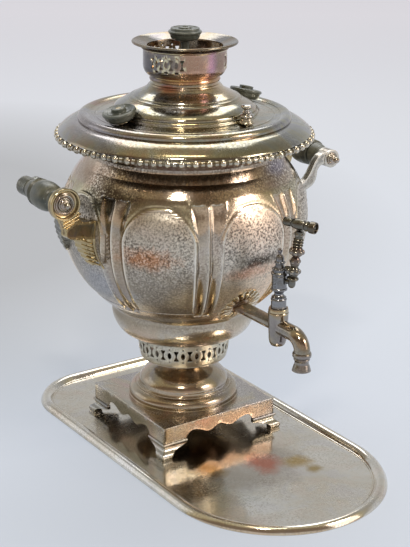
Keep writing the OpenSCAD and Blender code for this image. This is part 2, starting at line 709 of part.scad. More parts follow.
// Outline of a plain arm in X and Z, from the grip's axis down to the urn
function arm_outline() =
    let (g = grip_reach, b = arm_wall - arm_root, d = -pad_drop)
    concat(curve([[b, d - 9], [arm_x(0.03), d - 4], [arm_x(0.21), d - 1], [arm_x(0.37), d + 3.4],
                  [arm_x(0.45), d + 11], [arm_x(0.47), -12], [arm_x(0.57), -6.5],
                  [g - 9.6, -4.5]], 2),
           arc([g, 0], head_r, -100, 130, 12),
           curve([[g - 11.5, 8.6], [arm_x(0.53), 6.4], [arm_x(0.36), -1.2],
                  [arm_x(0.23), -10.7], [arm_x(0.05), d + 9], [b, d + 2]], 2));
// Outline of the broader arm under a dished head
function dished_outline() =
    let (g = grip_reach, b = arm_wall - arm_root, d = -pad_drop)
    concat(curve([[b, d - 17], [arm_x(0.07), d - 17], [arm_x(0.475), d - 14],
                  [arm_x(0.79), d - 11], [g - 1, d - 6], [g - 1, d - 2], [g + 1, d + 5],
                  [g + 7, -11.8]], 2),
           arc([g, 0], grip_neck_r + 1.6, -62, -158, 10),
           curve([[arm_x(0.55), -11], [arm_x(0.475), d + 9], [arm_x(0.29), d + 4],
                  [b, d + 1]], 2));
// Bands across the dished head's arm
module arm_ridges() {
    for (i = [-1, 0, 1])
        translate([grip_reach - 11 - i * 2, -1, 8 - pad_drop + i * 4]) rotate([0, 20, 0])
            translate([-9, 0, -1]) cube([18, arm_t + 2, 2]);
}
// The dished head's arm comes in from the head to the pad at a slant
arm_slant = 14;
module dished_arm() {
    turn_x = grip_reach + 4;
    difference() {
        translate([turn_x, arm_front, 0]) rotate([0, 0, arm_slant])
            translate([-turn_x, -arm_t, 0]) {
                plate_xz(0, arm_t) polygon(dished_outline());
                arm_ridges();
            }
        translate([grip_reach, dish_floor - 1, 0]) rotate([-90, 0, 0])
            cylinder(r = dish_r - 1, h = 20, $fn = 64);
    }
}
module dished_head() {
    r = dish_r;
    translate([grip_reach, 0, 0]) rotate([-90, 0, 0])
        turned([[0, head_face - dish_t], [r - 0.8, head_face - dish_t],
                [r, head_face - dish_t + 0.8], [r, head_face - 0.8], [r - 0.8, head_face],
                [r - 2.2, head_face - 0.2], [r - 3.4, dish_floor + 0.6], [r - 5, dish_floor],
                [0, dish_floor]]);
}
pad_proud = 11;
pad_tall = 51;
pad_top = grip_rise - pad_drop;
pad_ribs = 6;
// Section of the pad that carries an arm on the urn, with ribs across its face
function pad_section() =
    let (z0 = pad_top - pad_tall, z1 = pad_top, n = pad_ribs * 2,
         face = [for (i = [0:n])
             let (t = i / n, z = z0 + (z1 - z0) * 0.72 * t)
             [body_r_at(z) + pad_proud * (0.22 + 0.7 * sin(90 * t)) + (i % 2) * 1.1, z]],
         back = [for (i = [0:8]) let (z = z1 + (z0 - z1) * i / 8) [body_r_at(z) + 0.2, z]])
    concat(face, [[body_r_at(z1) + pad_proud, z1 - 6], [body_r_at(z1) + pad_proud * 0.8, z1]],
           back);
pad_w = 24;
module pad(b) {
    z0 = pad_top - pad_tall;
    z1 = pad_top;
    a = b - pad_w;
    middle = b - pad_w * 0.35;
    intersection() {
        turned(pad_section());
        plate_yz(0, wide) polygon(concat([[b, z1 + 1], [a, z1 + 1]],
            curve([[a, z1 - 18], [a + 3.5, z0 + 17], [middle - 7.5, z0 + 5], [middle, z0 + 0.5],
                   [middle + 5, z0 + 3], [b - 0.8, z0 + 14], [b, z1 - 18]], 2)));
    }
}
module bracket_solid(dished) {
    difference() {
        union() {
            translate([0, 0, grip_rise]) {
                if (dished) {
                    dished_arm();
                    dished_head();
                } else {
                    plate_xz(arm_front - arm_t, arm_front) polygon(arm_outline());
                    translate([grip_reach, head_y, 0]) rotate([-90, 0, 0])
                        cylinder(r = head_r + 0.6, h = head_len + 1, $fn = 64);
                }
            }
            pad(dished ? arm_front - 12 : arm_front - 2);
        }
        urn_core(0.2);
        translate([grip_reach, -1, grip_rise]) rotate([-90, 0, 0])
            cylinder(r = rod_r + seat_gap, h = wide, $fn = 32);
    }
}
module bracket(sx, sy, dished) {
    color(silver) mirror([sx < 0 ? 1 : 0, 0, 0]) mirror([0, sy < 0 ? 1 : 0, 0])
        translate([0, 0, body_z]) bracket_solid(dished);
}
module on_grip_axis(sx) {
    translate([sx * grip_reach, 0, grip_z]) rotate([-90, 0, 0]) children();
}
// Turned grip: a fat barrel with a grooved band, a taper towards the plain bracket and a neck
// that runs on to the dished head. side is -1 where the dished head is in front.
module grip(sx) {
    r = grip_r;
    e = grip_len / 2 - 0.1;
    neck = head_face - dish_t - 0.1;
    bore = rod_r + seat_gap;
    taper = concat([[bore, -e], [r * 0.62, -e]],
                   curve([[r * 0.66, 1 - e], [r * 0.74, -e * 0.75], [r * 0.77, -e * 0.5]], 2));
    barrel = concat([[r * 0.94, -e * 0.43], [r * 0.97, -e * 0.37]],
                    curve([[r * 0.97, -e * 0.1], [r, e * 0.1], [r * 0.97, e * 0.48],
                           [r * 0.88, e * 0.6]], 2));
    collar = concat([[grip_neck_r, e * 0.66]],
                    curve([[grip_neck_r - 0.6, e * 0.72], [grip_neck_r - 0.5, e * 0.86],
                           [grip_neck_r + 0.2, e * 0.96]], 2),
                    [[grip_neck_r, neck], [bore, neck]]);
    color(patina) on_grip_axis(sx) rotate([sx < 0 ? 0 : 180, 0, 0])
        turned([for (q = concat(taper, barrel, collar)) [q[0], -q[1]]]);
}
module grip_rods() {
    color(iron) for (s = [-1, 1]) on_grip_axis(s) rotate([s < 0 ? 0 : 180, 0, 0])
        translate([0, 0, -dish_floor - 3.8])
            cylinder(r = rod_r, h = dish_floor + head_face + 7.6, $fn = 32);
}
// Stepped nut with a small ball, screwed on each end of a rod
module finial(seat) {
    h = finial_h;
    translate([0, 0, seat])
        turned(concat([[0, 4], [rod_r + seat_gap, 4], [rod_r + seat_gap, 0], [7.4, 0],
                       [7.4, 1.6], [5.8, 2.2], [5.8, 3.6], [4, 4.4], [2.6, h - 7]],
                      arc([0, h - 3.8], 3.8, -50, 90, 8)));
}
module grip_finials() {
    color(silver) for (sx = [-1, 1]) on_grip_axis(sx) {
        for (sy = [-1, 1]) rotate([sy < 0 ? 180 : 0, 0, 0])
            finial((sx * sy > 0 ? dish_floor : head_face) + seat_gap);
    }
}

// ---- tap ----
module on_tap(reach = tap_reach) {
    translate([0, -reach, tap_z]) children();
}
barrel_top = 16;
barrel_foot = -20;
plug_foot_r = plug_r - 1.2;
plug_bottom = -15;
spout_x = spout_reach - spout_bend;
spout_drop = 13;
nozzle_h = 20;
shank_start = 12;
// Distance from the urn's axis to where the shank's middle passes the wall
tap_wall = body_r_at(tap_rise);
// Quarter bend from the spout's level run down to its mouth
module spout_elbow(r) {
    translate([0, -spout_x, -spout_bend]) rotate([0, -90, 0]) rotate([180, 0, 0])
        rotate_extrude(angle = 90, $fn = 96) translate([spout_bend, 0]) circle(r, $fn = 48);
}
module spout_outer() {
    rotate([90, 0, 0]) cylinder(r = spout_r, h = spout_x, $fn = 48);
    spout_elbow(spout_r);
    translate([0, -spout_reach, -spout_bend]) {
        r = spout_r;
        turned([[0, 0.4], [r + 0.9, 0.4], [r + 1.6, -1.2], [r + 1.4, -4], [r - 0.4, -6],
                [r + 0.2, -7], [r - 0.2, -8], [r - 1, -9.4], [r - 1, -12],
                [r + 0.2, -spout_drop - 2], [r + 1.6, -nozzle_h], [0, -nozzle_h]]);
    }
}
mouth_way_r = 6.4;
module tap_body() {
    shank = tap_reach - tap_wall + shank_start;
    color(silver) on_tap()
    difference() {
        union() {
            translate([0, shank, 0]) rotate([90, 0, 0])
                cylinder(r = shank_r, h = shank, $fn = 48);
            turned(concat([[0, barrel_foot - 3]],
                          curve([[3, barrel_foot - 3], [7.4, barrel_foot - 1],
                                 [9.4, barrel_foot + 4], [9.8, barrel_foot + 10],
                                 [barrel_r, 4], [barrel_r + 0.4, barrel_top]], 2),
                          [[barrel_r - 0.5, barrel_top + 1], [barrel_r - 0.5, barrel_top + 5],
                           [0, barrel_top + 5]]));
            spout_outer();
        }
        translate([0, 0, plug_bottom - 1])
            cylinder(r1 = plug_foot_r + key_gap, r2 = plug_r + key_gap,
                     h = barrel_top + 6 - plug_bottom + 1, $fn = 48);
        translate([0, shank + 1, 0]) rotate([90, 0, 0])
            cylinder(r = bore_r, h = shank + 1 + spout_x, $fn = 32);
        spout_elbow(bore_r - 0.3);
        translate([0, -spout_reach, -spout_bend - nozzle_h - 1]) {
            cylinder(r = bore_r, h = nozzle_h + 1, $fn = 32);
            cylinder(r = mouth_way_r, h = 11, $fn = 48);
        }
    }
}
// Fan of lobes and grooves that covers the shank's foot on the urn
rosette_lobes = 9;
rosette_t = 3.6;
module rosette_fan(r) {
    circle(r * 0.72, $fn = 48);
    for (i = [0:rosette_lobes - 1]) {
        a = -105 + 210 * i / (rosette_lobes - 1);
        rotate(-a) translate([0, r * (0.66 + 0.14 * cos(a))])
            circle(r * 0.26, $fn = 32);
    }
}
module rosette_grooves(r) {
    for (i = [0:rosette_lobes - 2]) {
        a = -105 + 210 * (i + 0.5) / (rosette_lobes - 1);
        rotate(-a) polygon([[-0.3, shank_r + 2], [0.3, shank_r + 2], [1, r * 1.3],
                            [-1, r * 1.3]]);
    }
}
function urn_band(a, b) =
    let (line = [for (q = body_line()) if (q[1] < body_h * 0.36) q])
    concat([for (q = beside(line, -b)) q], reversed(beside(line, -a)));
module tap_rosette() {
    r = 22;
    color(gilt) translate([0, 0, body_z])
    difference() {
        intersection() {
            turned(urn_band(0.15, rosette_t));
            plate_xz(-wide, -50) translate([0, tap_rise]) rosette_fan(r);
        }
        intersection() {
            turned(urn_band(rosette_t - 1.5, rosette_t + 2));
            plate_xz(-wide, -50) translate([0, tap_rise]) rosette_grooves(r);
        }
        translate([0, 0, tap_rise]) rotate([90, 0, 0])
            cylinder(r = shank_r + seat_gap, h = wide, $fn = 48);
    }
}
module tap_backnut() {
    color(gilt) on_tap(tap_wall - shank_start + 0.5) rotate([-90, 0, 0])
    difference() {
        cylinder(r = shank_r + 4, h = 5, $fn = 6);
        translate([0, 0, -1]) cylinder(r = shank_r + seat_gap, h = 8, $fn = 48);
    }
}

// ---- tap key ----
key_rise = barrel_top + 5 + running;
branch_z = key_rise + 49;
module key_bead_ring(r, z, n) {
    for (i = [0:n - 1]) facing(i * 360 / n) translate([0, -r, z]) sphere(1.5, $fn = 16);
}
module tap_key() {
    z = key_rise;
    color(steel) on_tap() {
        difference() {
            turned(concat([[0, plug_bottom], [plug_foot_r, plug_bottom],
                           [plug_r - 0.02, key_rise], [8.2, z], [8.2, z + 9.6], [7.6, z + 10.4],
                           [7.8, z + 11.6]],
                          curve([[6.4, z + 12.6], [4.8, z + 15], [5.6, z + 17.4],
                                 [7.8, z + 19.4]], 2),
                          [[8.7, z + 20], [8.7, z + 21.6], [8.1, z + 22.4], [8.1, z + 36],
                           [8.8, z + 37], [8.8, z + 39], [7.6, z + 40], [7.4, z + 42.4]],
                          curve([[5.2, z + 44], [4.4, z + 48], [4.6, z + 54], [3.6, z + 57],
                                 [1.8, z + 58.6], [1.6, z + 60.4], [2.4, z + 62],
                                 [2.2, z + 64], [0, z + 65.4]], 2)));
            facing(key_turn) rotate([90, 0, 0]) translate([0, 0, -wide / 2])
                cylinder(r = bore_r, h = wide, $fn = 32);
        }
        key_bead_ring(6.6, z + 42.6, 10);
        key_bead_ring(4.4, z + 50, 8);
    }
}
// Openwork branch cast beside the key: two ringed scrolls, a tail and a stalk
branch_t = 5;
crossbar_z = 48;
crossbar_r = 5.2;
module scroll(r, hole) {
    difference() {
        circle(r, $fn = 48);
        circle(hole, $fn = 32);
    }
    circle(hole * 0.5, $fn = 24);
}
module stroke(a, b, w) {
    d = b - a;
    translate(a) rotate(atan2(d[1], d[0])) translate([0, -w / 2]) square([norm(d), w]);
    for (q = [a, b]) translate(q) circle(w * 0.58, $fn = 24);
}
module branch_outline() {
    k = branch_reach;
    stroke([8.3, 0], [k * 0.55, 0.6], 4.5);
    translate([k * 0.74, -3]) scroll(8, 4.4);
    stroke([k * 0.74 - 4, -3], [k * 0.74 + 4, -3], 1.6);
    stroke([k * 0.6, -12], [k * 0.5, -24], 5);
    stroke([k * 0.86, 2.5], [k * 0.98, 12], 4.6);
    translate([k * 0.86, 20]) scroll(7.2, 3.8);
    stroke([k * 0.86, 16], [k * 0.86, 24], 1.6);
    stroke([k * 0.95, 26], [k, 43], 4.6);
    stroke([k * 0.7, 36], [k, 41], 3);
    stroke([k * 1.3, 36], [k, 41], 3);
}
module tap_branch() {
    color(steel) on_tap() translate([0, 0, branch_z]) facing(key_turn)
        rotate([90, 0, 0]) rotate([0, 90, 0])
        translate([0, 0, -branch_t / 2]) linear_extrude(branch_t)
        mirror([1, 0, 0]) difference() {
            branch_outline();
            translate([0, crossbar_z - crossbar_r]) square([60, 20]);
        }
}
module tap_crossbar() {
    e = crossbar_len / 2;
    color(patina) on_tap() translate([0, 0, branch_z + crossbar_z]) facing(key_turn)
        translate([0, -branch_reach, 0]) rotate([90, 0, 0])
        turned(concat([[0, -e]], arc([0, -e + 4.5], 4.5, -70, 20, 5),
                      [[3.6, -e + 8], [4.2, -e + 10], [3.4, -e + 12]],
                      curve([[3.8, -e + 13], [crossbar_r, -1], [5, 2], [3.8, e - 10]], 3),
                      [[4.6, e - 8], [5, e - 6.4], [4.2, e - 5], [5, e - 4], [5, e - 1],
                       [4, e], [0, e]]));
}

tray();
plinth();
foot(-1, -1);  // foot_front_left
foot(1, -1);  // foot_front_right
foot(-1, 1);  // foot_back_left
foot(1, 1);  // foot_back_right
pedestal();
lower_gallery();
bowl();
body_shell();
brim();
brim_beads();
fire_tube();
grate();
lid();
lid_knob_posts();
lid_knob(-1);  // lid_knob_left
lid_knob(1);  // lid_knob_right
steam_vent_seat();
steam_vent_cap();
crown_wall();
crown_saucer();
chimney_cap();
chimney_cap_knob();
bracket(-1, -1, true);  // bracket_left_front
bracket(-1, 1, false);  // bracket_left_back
bracket(1, -1, false);  // bracket_right_front
bracket(1, 1, true);  // bracket_right_back
grip(-1);  // grip_left
grip(1);  // grip_right
grip_rods();
grip_finials();
tap_body();
tap_rosette();
tap_backnut();
tap_key();
tap_branch();
tap_crossbar();
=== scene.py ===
# %% [markdown]
# # A charcoal samovar on its tray
# The object is a silver-plated brass samovar: a fluted urn on a pierced gallery, a spun pedestal
# and a square plinth with four bracket feet, standing on a pressed tray. Every piece here is
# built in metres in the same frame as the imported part, so a piece goes where the part has it.
# The urn's axis is Z, the tap points to -Y and the handles are at +X and -X.

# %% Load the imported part
import math
import bpy
import bmesh
import numpy as np
from mathutils import Matrix, Vector


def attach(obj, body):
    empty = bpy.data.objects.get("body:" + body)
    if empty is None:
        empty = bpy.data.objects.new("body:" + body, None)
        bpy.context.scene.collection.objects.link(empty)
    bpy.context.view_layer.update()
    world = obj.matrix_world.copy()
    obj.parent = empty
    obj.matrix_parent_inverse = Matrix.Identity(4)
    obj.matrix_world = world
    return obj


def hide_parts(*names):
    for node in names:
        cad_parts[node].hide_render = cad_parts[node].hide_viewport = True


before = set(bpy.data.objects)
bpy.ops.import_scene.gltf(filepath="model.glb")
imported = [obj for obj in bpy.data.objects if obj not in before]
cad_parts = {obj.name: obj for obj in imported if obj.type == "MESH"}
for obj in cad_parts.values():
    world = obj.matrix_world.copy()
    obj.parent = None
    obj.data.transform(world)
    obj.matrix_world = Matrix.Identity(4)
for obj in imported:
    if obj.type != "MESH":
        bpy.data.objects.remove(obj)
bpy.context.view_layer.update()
MM = 0.001

# %% [markdown]
# ## Camera
# A long lens from the left of the tap, a little above the lid. A long lens keeps the round forms
# calm. The view's direction comes first, and then the camera's own right and up are worked out
# from it, because a roll of half a degree can't be set by pointing alone.

# %% Camera
scene = bpy.context.scene
camera_data = bpy.data.cameras.new("camera")
camera = bpy.data.objects.new("camera", camera_data)
scene.collection.objects.link(camera)
scene.camera = camera
# the plain transform, so that a colour shows as it is written
scene.view_settings.view_transform = "Standard"
camera_data.sensor_width = 36
camera_data.lens = 89.5
camera_data.clip_start, camera_data.clip_end = 0.05, 60
azimuth, pitch, yaw, roll = (math.radians(a) for a in (-33.69, 19.48, 0.94, 0.58))
distance, height = 1.4925, 0.7145
ahead = Vector((-math.sin(azimuth), math.cos(azimuth), 0))
side = Vector((math.cos(azimuth), math.sin(azimuth), 0))
level = ahead * math.cos(yaw) + side * math.sin(yaw)
right = side * math.cos(yaw) - ahead * math.sin(yaw)
look = level * math.cos(pitch) - Vector((0, 0, math.sin(pitch)))
up = Vector((0, 0, math.cos(pitch))) + level * math.sin(pitch)
right, up = (right * math.cos(roll) + up * math.sin(roll),
             up * math.cos(roll) - right * math.sin(roll))
camera.matrix_world = Matrix((
    (right.x, up.x, -look.x, math.sin(azimuth) * distance),
    (right.y, up.y, -look.y, -math.cos(azimuth) * distance),
    (right.z, up.z, -look.z, height),
    (0, 0, 0, 1)))
print("camera at", [round(c, 3) for c in camera.matrix_world.translation])

# %% [markdown]
# ## Colours and nodes
# Paint charts give colours as sRGB hex, but shaders mix light in linear values, so one function
# turns hex to linear. One small helper adds a node and gives it its inputs. An input is a number,
# a hex colour, a socket, or a node whose first output is meant, so that a material reads as a list
# of layers.

# %% Helpers for materials
def colour(code):
    parts = [int(code[i:i + 2], 16) / 255 for i in (1, 3, 5)]
    return [c / 12.92 if c <= 0.04045 else ((c + 0.055) / 1.055) ** 2.4 for c in parts] + [1.0]


def add(tree, kind, inputs=None, **settings):
    node = tree.nodes.new(kind)
    for key, value in settings.items():
        setattr(node, key, value)
    for key, value in (inputs or {}).items():
        if isinstance(value, str):
            value = colour(value)
        elif isinstance(value, bpy.types.Node):
            value = value.outputs[0]
        if isinstance(value, bpy.types.NodeSocket):
            tree.links.new(value, node.inputs[key])
        else:
            node.inputs[key].default_value = value
    return node


def shades(node, *stops):
    ramp = node.color_ramp
    while len(ramp.elements) < len(stops):
        ramp.elements.new(0.5)
    for element, (place, value) in zip(ramp.elements, stops):
        element.position = place
        element.color = colour(value) if isinstance(value, str) else (value, value, value, 1)
    return node


def blank(name):
    material = bpy.data.materials.new(name)
    material.use_nodes = True
    material.node_tree.nodes.clear()
    return material, material.node_tree


print("colour check", [round(c, 3) for c in colour("#b9ad97")])
# %% [markdown]
# ## Table, backdrop and light
# Bare metal shows what stands round it more than its own colour. The pale wall behind gives calm
# pale bands on the silhouettes and on flat tops, and the dim brown room over the viewer's head
# darkens the round shoulder. A small lamp in that room makes two sharp highlights, one on the
# shoulder's swell and one in its hollow, a broader one on the right makes a soft glare, a pale
# doorway under it fills the panel beside the tap, a long one overhead lights the lid's steps, and
# one behind and above opens the shadows.

# %% World
world = bpy.data.worlds.new("studio")
scene.world = world
world.use_nodes = True
sky = world.node_tree
sky.nodes.clear()
way = add(sky, "ShaderNodeTexCoord").outputs["Generated"]
toward = add(sky, "ShaderNodeVectorMath", {0: way, 1: (-0.5547, -0.832, 0.0)},
             operation="DOT_PRODUCT").outputs["Value"]
rise = add(sky, "ShaderNodeSeparateXYZ", {0: way}).outputs["Z"]
# the angle from the viewer's horizon, 0, over the zenith, 0.5, to the horizon behind, 1
over = add(sky, "ShaderNodeMath", {0: rise, 1: toward}, operation="ARCTAN2")
over = add(sky, "ShaderNodeMath", {0: over, 1: 1 / math.pi}, operation="MULTIPLY")
drift = add(sky, "ShaderNodeTexNoise", {"Vector": way, "Scale": 3.0, "Detail": 4.0})
over = add(sky, "ShaderNodeMath", {0: drift, 1: 0.16, 2: over}, operation="MULTIPLY_ADD")
around = shades(add(sky, "ShaderNodeValToRGB", {"Fac": over}),
                (0.0, "#c2bbb4"), (0.2, "#bcb3a9"), (0.27, "#75665a"), (0.37, "#776654"),
                (0.44, "#a3977c"), (0.52, "#b3a98e"), (0.64, "#a7a08b"), (0.76, "#9c9b97"),
                (0.87, "#b0b2b5"), (1.0, "#c4c6ca"))
surround = add(sky, "ShaderNodeBackground", {"Color": around, "Strength": 1.2})
seen = add(sky, "ShaderNodeBackground", {"Color": "#d3d2d1", "Strength": 1.0})
rays = add(sky, "ShaderNodeLightPath")
mixed = add(sky, "ShaderNodeMixShader",
            {0: rays.outputs["Is Camera Ray"], 1: surround, 2: seen})
add(sky, "ShaderNodeOutputWorld", {"Surface": mixed})
print("world nodes", len(sky.nodes))

# %% Soft boxes
def soft_box(name, place, aim, size, watts, tint="#ffffff"):
    data = bpy.data.lights.new(name, "AREA")
    data.shape = "RECTANGLE"
    data.size, data.size_y = size
    data.energy = watts
    data.color = colour(tint)[:3]
    lamp = bpy.data.objects.new(name, data)
    scene.collection.objects.link(lamp)
    lamp.location = place
    lamp.rotation_euler = (Vector(aim) - Vector(place)).to_track_quat("-Z", "Y").to_euler()
    return lamp


soft_box("small_lamp", (-0.9, -1.01, 1.91), (0, 0, 0.3), (0.26, 0.13), 11, "#fff8ee")
soft_box("ceiling", (-0.31, -0.46, 2.55), (0, 0, 0.4), (0.9, 0.16), 5, "#fff0cf")
soft_box("glare", (1.0, -1.5, 1.36), (0, 0, 0.25), (0.6, 0.4), 10, "#fff4ee")
soft_box("doorway", (1.0, -1.5, 0.72), (0, 0, 0.25), (0.9, 1.1), 5, "#fff2e6")
soft_box("window", (-2.0, 2.2, 1.2), (0, 0, 0.2), (1.8, 1.4), 4, "#f2f5ff")
soft_box("overhead", (0.7, 1.05, 2.1), (0, 0, 0.2), (1.8, 1.4), 24)

# %% Table
table_mesh = bpy.data.meshes.new("table")
reach = 9.0
table_mesh.from_pydata([(-reach, -reach, 0), (reach, -reach, 0), (reach, reach, 0),
                        (-reach, reach, 0)], [], [(0, 1, 2, 3)])
table = bpy.data.objects.new("table", table_mesh)
scene.collection.objects.link(table)
paper, tree = blank("pale_paper")
place = add(tree, "ShaderNodeTexCoord").outputs["Object"]
far = add(tree, "ShaderNodeVectorMath", {0: place, 1: (0.5547, 0.832, 0)},
          operation="DOT_PRODUCT").outputs["Value"]
far = add(tree, "ShaderNodeMapRange", {"Value": far, "From Min": -0.35, "From Max": 3.2})
tone = shades(add(tree, "ShaderNodeValToRGB", {"Fac": far}),
              (0.0, "#c8d7ec"), (0.2, "#ccd8ea"), (0.5, "#d4d9e4"), (1.0, "#e2e0ea"))
# the table glows more with distance, painted light that stands in for a lit wall behind it
wall = shades(add(tree, "ShaderNodeValToRGB", {"Fac": far}),
              (0.0, 0.46), (0.49, 0.58), (1.0, 0.68))
# painted shade darkens the left of the table
side = add(tree, "ShaderNodeVectorMath", {0: place, 1: (-0.05, 1.0, 0)}, operation="DISTANCE")
painted_shade = shades(add(tree, "ShaderNodeValToRGB", {"Fac": side.outputs["Value"]}), (0.45, 0.38),
               (1.05, 1.0))
wall = add(tree, "ShaderNodeMath", {0: wall, 1: painted_shade}, operation="MULTIPLY")
felt = add(tree, "ShaderNodeBsdfDiffuse", {"Color": "#a0a3a9"})
glow = add(tree, "ShaderNodeEmission", {"Color": tone, "Strength": wall})
lit = add(tree, "ShaderNodeAddShader", {0: felt, 1: glow})
add(tree, "ShaderNodeOutputMaterial", {"Surface": lit})
table_mesh.materials.append(paper)
print("table", [round(c, 1) for c in table.dimensions])

# %% [markdown]
# ## Tarnished silver plate
# The urn is brass that was spun, pressed and then electroplated with silver. Worn plate is warm:
# the brass shows through it, sulphur turns it tan and brown with a thin film of pink, gold and
# blue, and old polish stays as grey specks. The base colour is a metal's own tint, so all of it is
# fully metallic, and the age lies in layers: broad clouds of tarnish, the film, specks of two or
# three millimetres, and bright edges, partly worn and partly a painted highlight, against brown
# hollows. On cast pieces the hollows and edges come from how sharply the surface bends, and on the
# body from the masks of its own rule. A few patches of the tint are painted light and shade.

# %% Plate finish
def plated(name, bright, dull, hollow, *, speck, worn="#e4dccb", cloud=11.0, rough=(0.2, 0.4),
           tint=None, dents=0.25, film=0.3, relief=False, pits=0.16):
    material, tree = blank(name)
    place = add(tree, "ShaderNodeTexCoord").outputs["Object"]
    # clouds about 90 mm across, broken up to a few millimetres
    clouds = add(tree, "ShaderNodeTexNoise", {"Vector": place, "Scale": cloud, "Detail": 7.0,
                                              "Roughness": 0.62, "Distortion": 0.5})
    amount = shades(add(tree, "ShaderNodeValToRGB", {"Fac": clouds}), (0.36, 0.0), (0.66, 1.0))
    base = add(tree, "ShaderNodeMix", {"Factor": amount, 6: bright, 7: dull},
               data_type="RGBA").outputs[2]
    # the film's colours follow one another in patches of 40 to 60 mm
    bands = add(tree, "ShaderNodeTexNoise", {"Vector": place, "Scale": 17.0, "Detail": 4.0,
                                             "Roughness": 0.6, "Distortion": 1.2})
    tones = shades(add(tree, "ShaderNodeValToRGB", {"Fac": bands}), (0.3, "#c79c90"),
                   (0.42, "#b9a27c"), (0.5, "#b3b096"), (0.58, "#a9adb0"), (0.7, "#8f8d9f"))
    base = add(tree, "ShaderNodeMix", {"Factor": film, 6: base, 7: tones},
               data_type="RGBA").outputs[2]
    grain = add(tree, "ShaderNodeTexNoise", {"Vector": place, "Scale": 480.0, "Detail": 3.0,
                                             "Roughness": 0.7})
    specks = shades(add(tree, "ShaderNodeValToRGB", {"Fac": grain}), (0.48, 0.0), (0.59, 1.0))
    flecks = shades(add(tree, "ShaderNodeValToRGB", {"Fac": grain}), (0.37, 1.0), (0.46, 0.0))
    where = add(tree, "ShaderNodeTexNoise", {"Vector": place, "Scale": 16.0,
                                             "Detail": 3.0})
    where = shades(add(tree, "ShaderNodeValToRGB", {"Fac": where}), (0.38, 0.12), (0.6, 1.0))
    if relief:
        mask = {each: add(tree, "ShaderNodeAttribute", attribute_name=each).outputs["Fac"]
                for each in ("panel", "hollow", "edge", "ground")}
        where = add(tree, "ShaderNodeMath", {0: mask["panel"], 1: 0.45, 2: where},
                    operation="MULTIPLY_ADD", use_clamp=True)
        # the specks are strongest over the copper patches, and hands have rubbed the shoulder
        tall = add(tree, "ShaderNodeSeparateXYZ", {0: place}).outputs["Z"]
        band = add(tree, "ShaderNodeMapRange", {"Value": tall, "From Min": 0.215,
                                                "From Max": 0.262, "To Min": 0.42})
        where = add(tree, "ShaderNodeMath", {0: where, 1: band}, operation="MULTIPLY")
        rubbed = add(tree, "ShaderNodeMapRange", {"Value": tall, "From Min": 0.302,
                                                  "From Max": 0.312, "To Max": -0.1})
        deep, edge, lift, green = (
            add(tree, "ShaderNodeMath", {0: mask[each], 1: share}, operation="MULTIPLY")
            for each, share in (("hollow", 0.42), ("edge", 0.75), ("panel", 0.55),
                                ("ground", 0.6)))
        for layer, tone in ((lift, "#cbc5bb"), (green, "#b5b088")):
            base = add(tree, "ShaderNodeMix", {"Factor": layer, 6: base, 7: tone},
                       data_type="RGBA").outputs[2]
    else:
        bend = add(tree, "ShaderNodeNewGeometry").outputs["Pointiness"]
        deep = shades(add(tree, "ShaderNodeValToRGB", {"Fac": bend}), (0.40, 0.75), (0.485, 0.0))
        edge = shades(add(tree, "ShaderNodeValToRGB", {"Fac": bend}), (0.52, 0.0), (0.6, 0.8))
    if tint:
        base = tint(tree, place, base)
    specks = add(tree, "ShaderNodeMath", {0: specks, 1: where}, operation="MULTIPLY")
    flecks = add(tree, "ShaderNodeMath", {0: flecks, 1: where}, operation="MULTIPLY")
    darker = add(tree, "ShaderNodeMath", {0: specks, 1: speck}, operation="MULTIPLY")
    lighter = add(tree, "ShaderNodeMath", {0: flecks, 1: speck * 0.7}, operation="MULTIPLY")
    # the worn colour on edges is partly wear and partly a painted highlight on ridges and bevels
    for layer, tone in ((darker, "#4b443c"), (lighter, worn), (deep, hollow), (edge, worn)):
        base = add(tree, "ShaderNodeMix", {"Factor": layer, 6: base, 7: tone},
                   data_type="RGBA").outputs[2]
    gloss = add(tree, "ShaderNodeMapRange", {"Value": clouds, "From Min": 0.3, "From Max": 0.7,
                                             "To Min": rough[0], "To Max": rough[1]})
    gloss = add(tree, "ShaderNodeMath", {0: specks, 1: 0.18, 2: gloss},
                operation="MULTIPLY_ADD")
    if relief:
        for each, share in ((mask["panel"], 0.2), (rubbed, 1.0), (mask["hollow"], -0.07)):
            gloss = add(tree, "ShaderNodeMath", {0: each, 1: share, 2: gloss},
                        operation="MULTIPLY_ADD")
    swell = add(tree, "ShaderNodeTexNoise", {"Vector": place, "Scale": 28.0,
                                             "Detail": 2.0})
    beaten = add(tree, "ShaderNodeBump", {"Height": swell, "Strength": dents, "Distance": 0.0012})
    pitted = add(tree, "ShaderNodeBump", {"Height": grain, "Strength": pits, "Distance": 0.0004,
                                          "Normal": beaten})
    metal = add(tree, "ShaderNodeBsdfPrincipled", {"Base Color": base, "Roughness": gloss,
                                                   "Normal": pitted})
    metal.inputs["Metallic"].default_value = 1.0
    add(tree, "ShaderNodeOutputMaterial", {"Surface": metal})
    return material


def colour_patch(tree, place, base, centre, size, code, strength, ragged):
    away = add(tree, "ShaderNodeVectorMath", {0: place, 1: centre}, operation="SUBTRACT")
    away = add(tree, "ShaderNodeVectorMath", {0: away, 1: size}, operation="DIVIDE")
    away = add(tree, "ShaderNodeVectorMath", {0: away}, operation="LENGTH")
    torn = add(tree, "ShaderNodeTexNoise", {"Vector": place, "Scale": ragged, "Detail": 6.0,
                                            "Roughness": 0.75})
    total = add(tree, "ShaderNodeMath", {0: torn, 1: 1.6, 2: away.outputs["Value"]},
                operation="MULTIPLY_ADD")
    total = add(tree, "ShaderNodeMath", {0: total, 1: 2.2}, operation="DIVIDE")
    mask = shades(add(tree, "ShaderNodeValToRGB", {"Fac": total}), (0.5, strength), (0.82, 0.0))
    return add(tree, "ShaderNodeMix", {"Factor": mask, 6: base, 7: code},
               data_type="RGBA").outputs[2]


def colour_patches(*spots):
    """A tint of stains and painted light: centre, size, colour, strength and raggedness of each.
    """
    def tint(tree, place, base):
        for spot in spots:
            base = colour_patch(tree, place, base, *spot)
        return base
    return tint


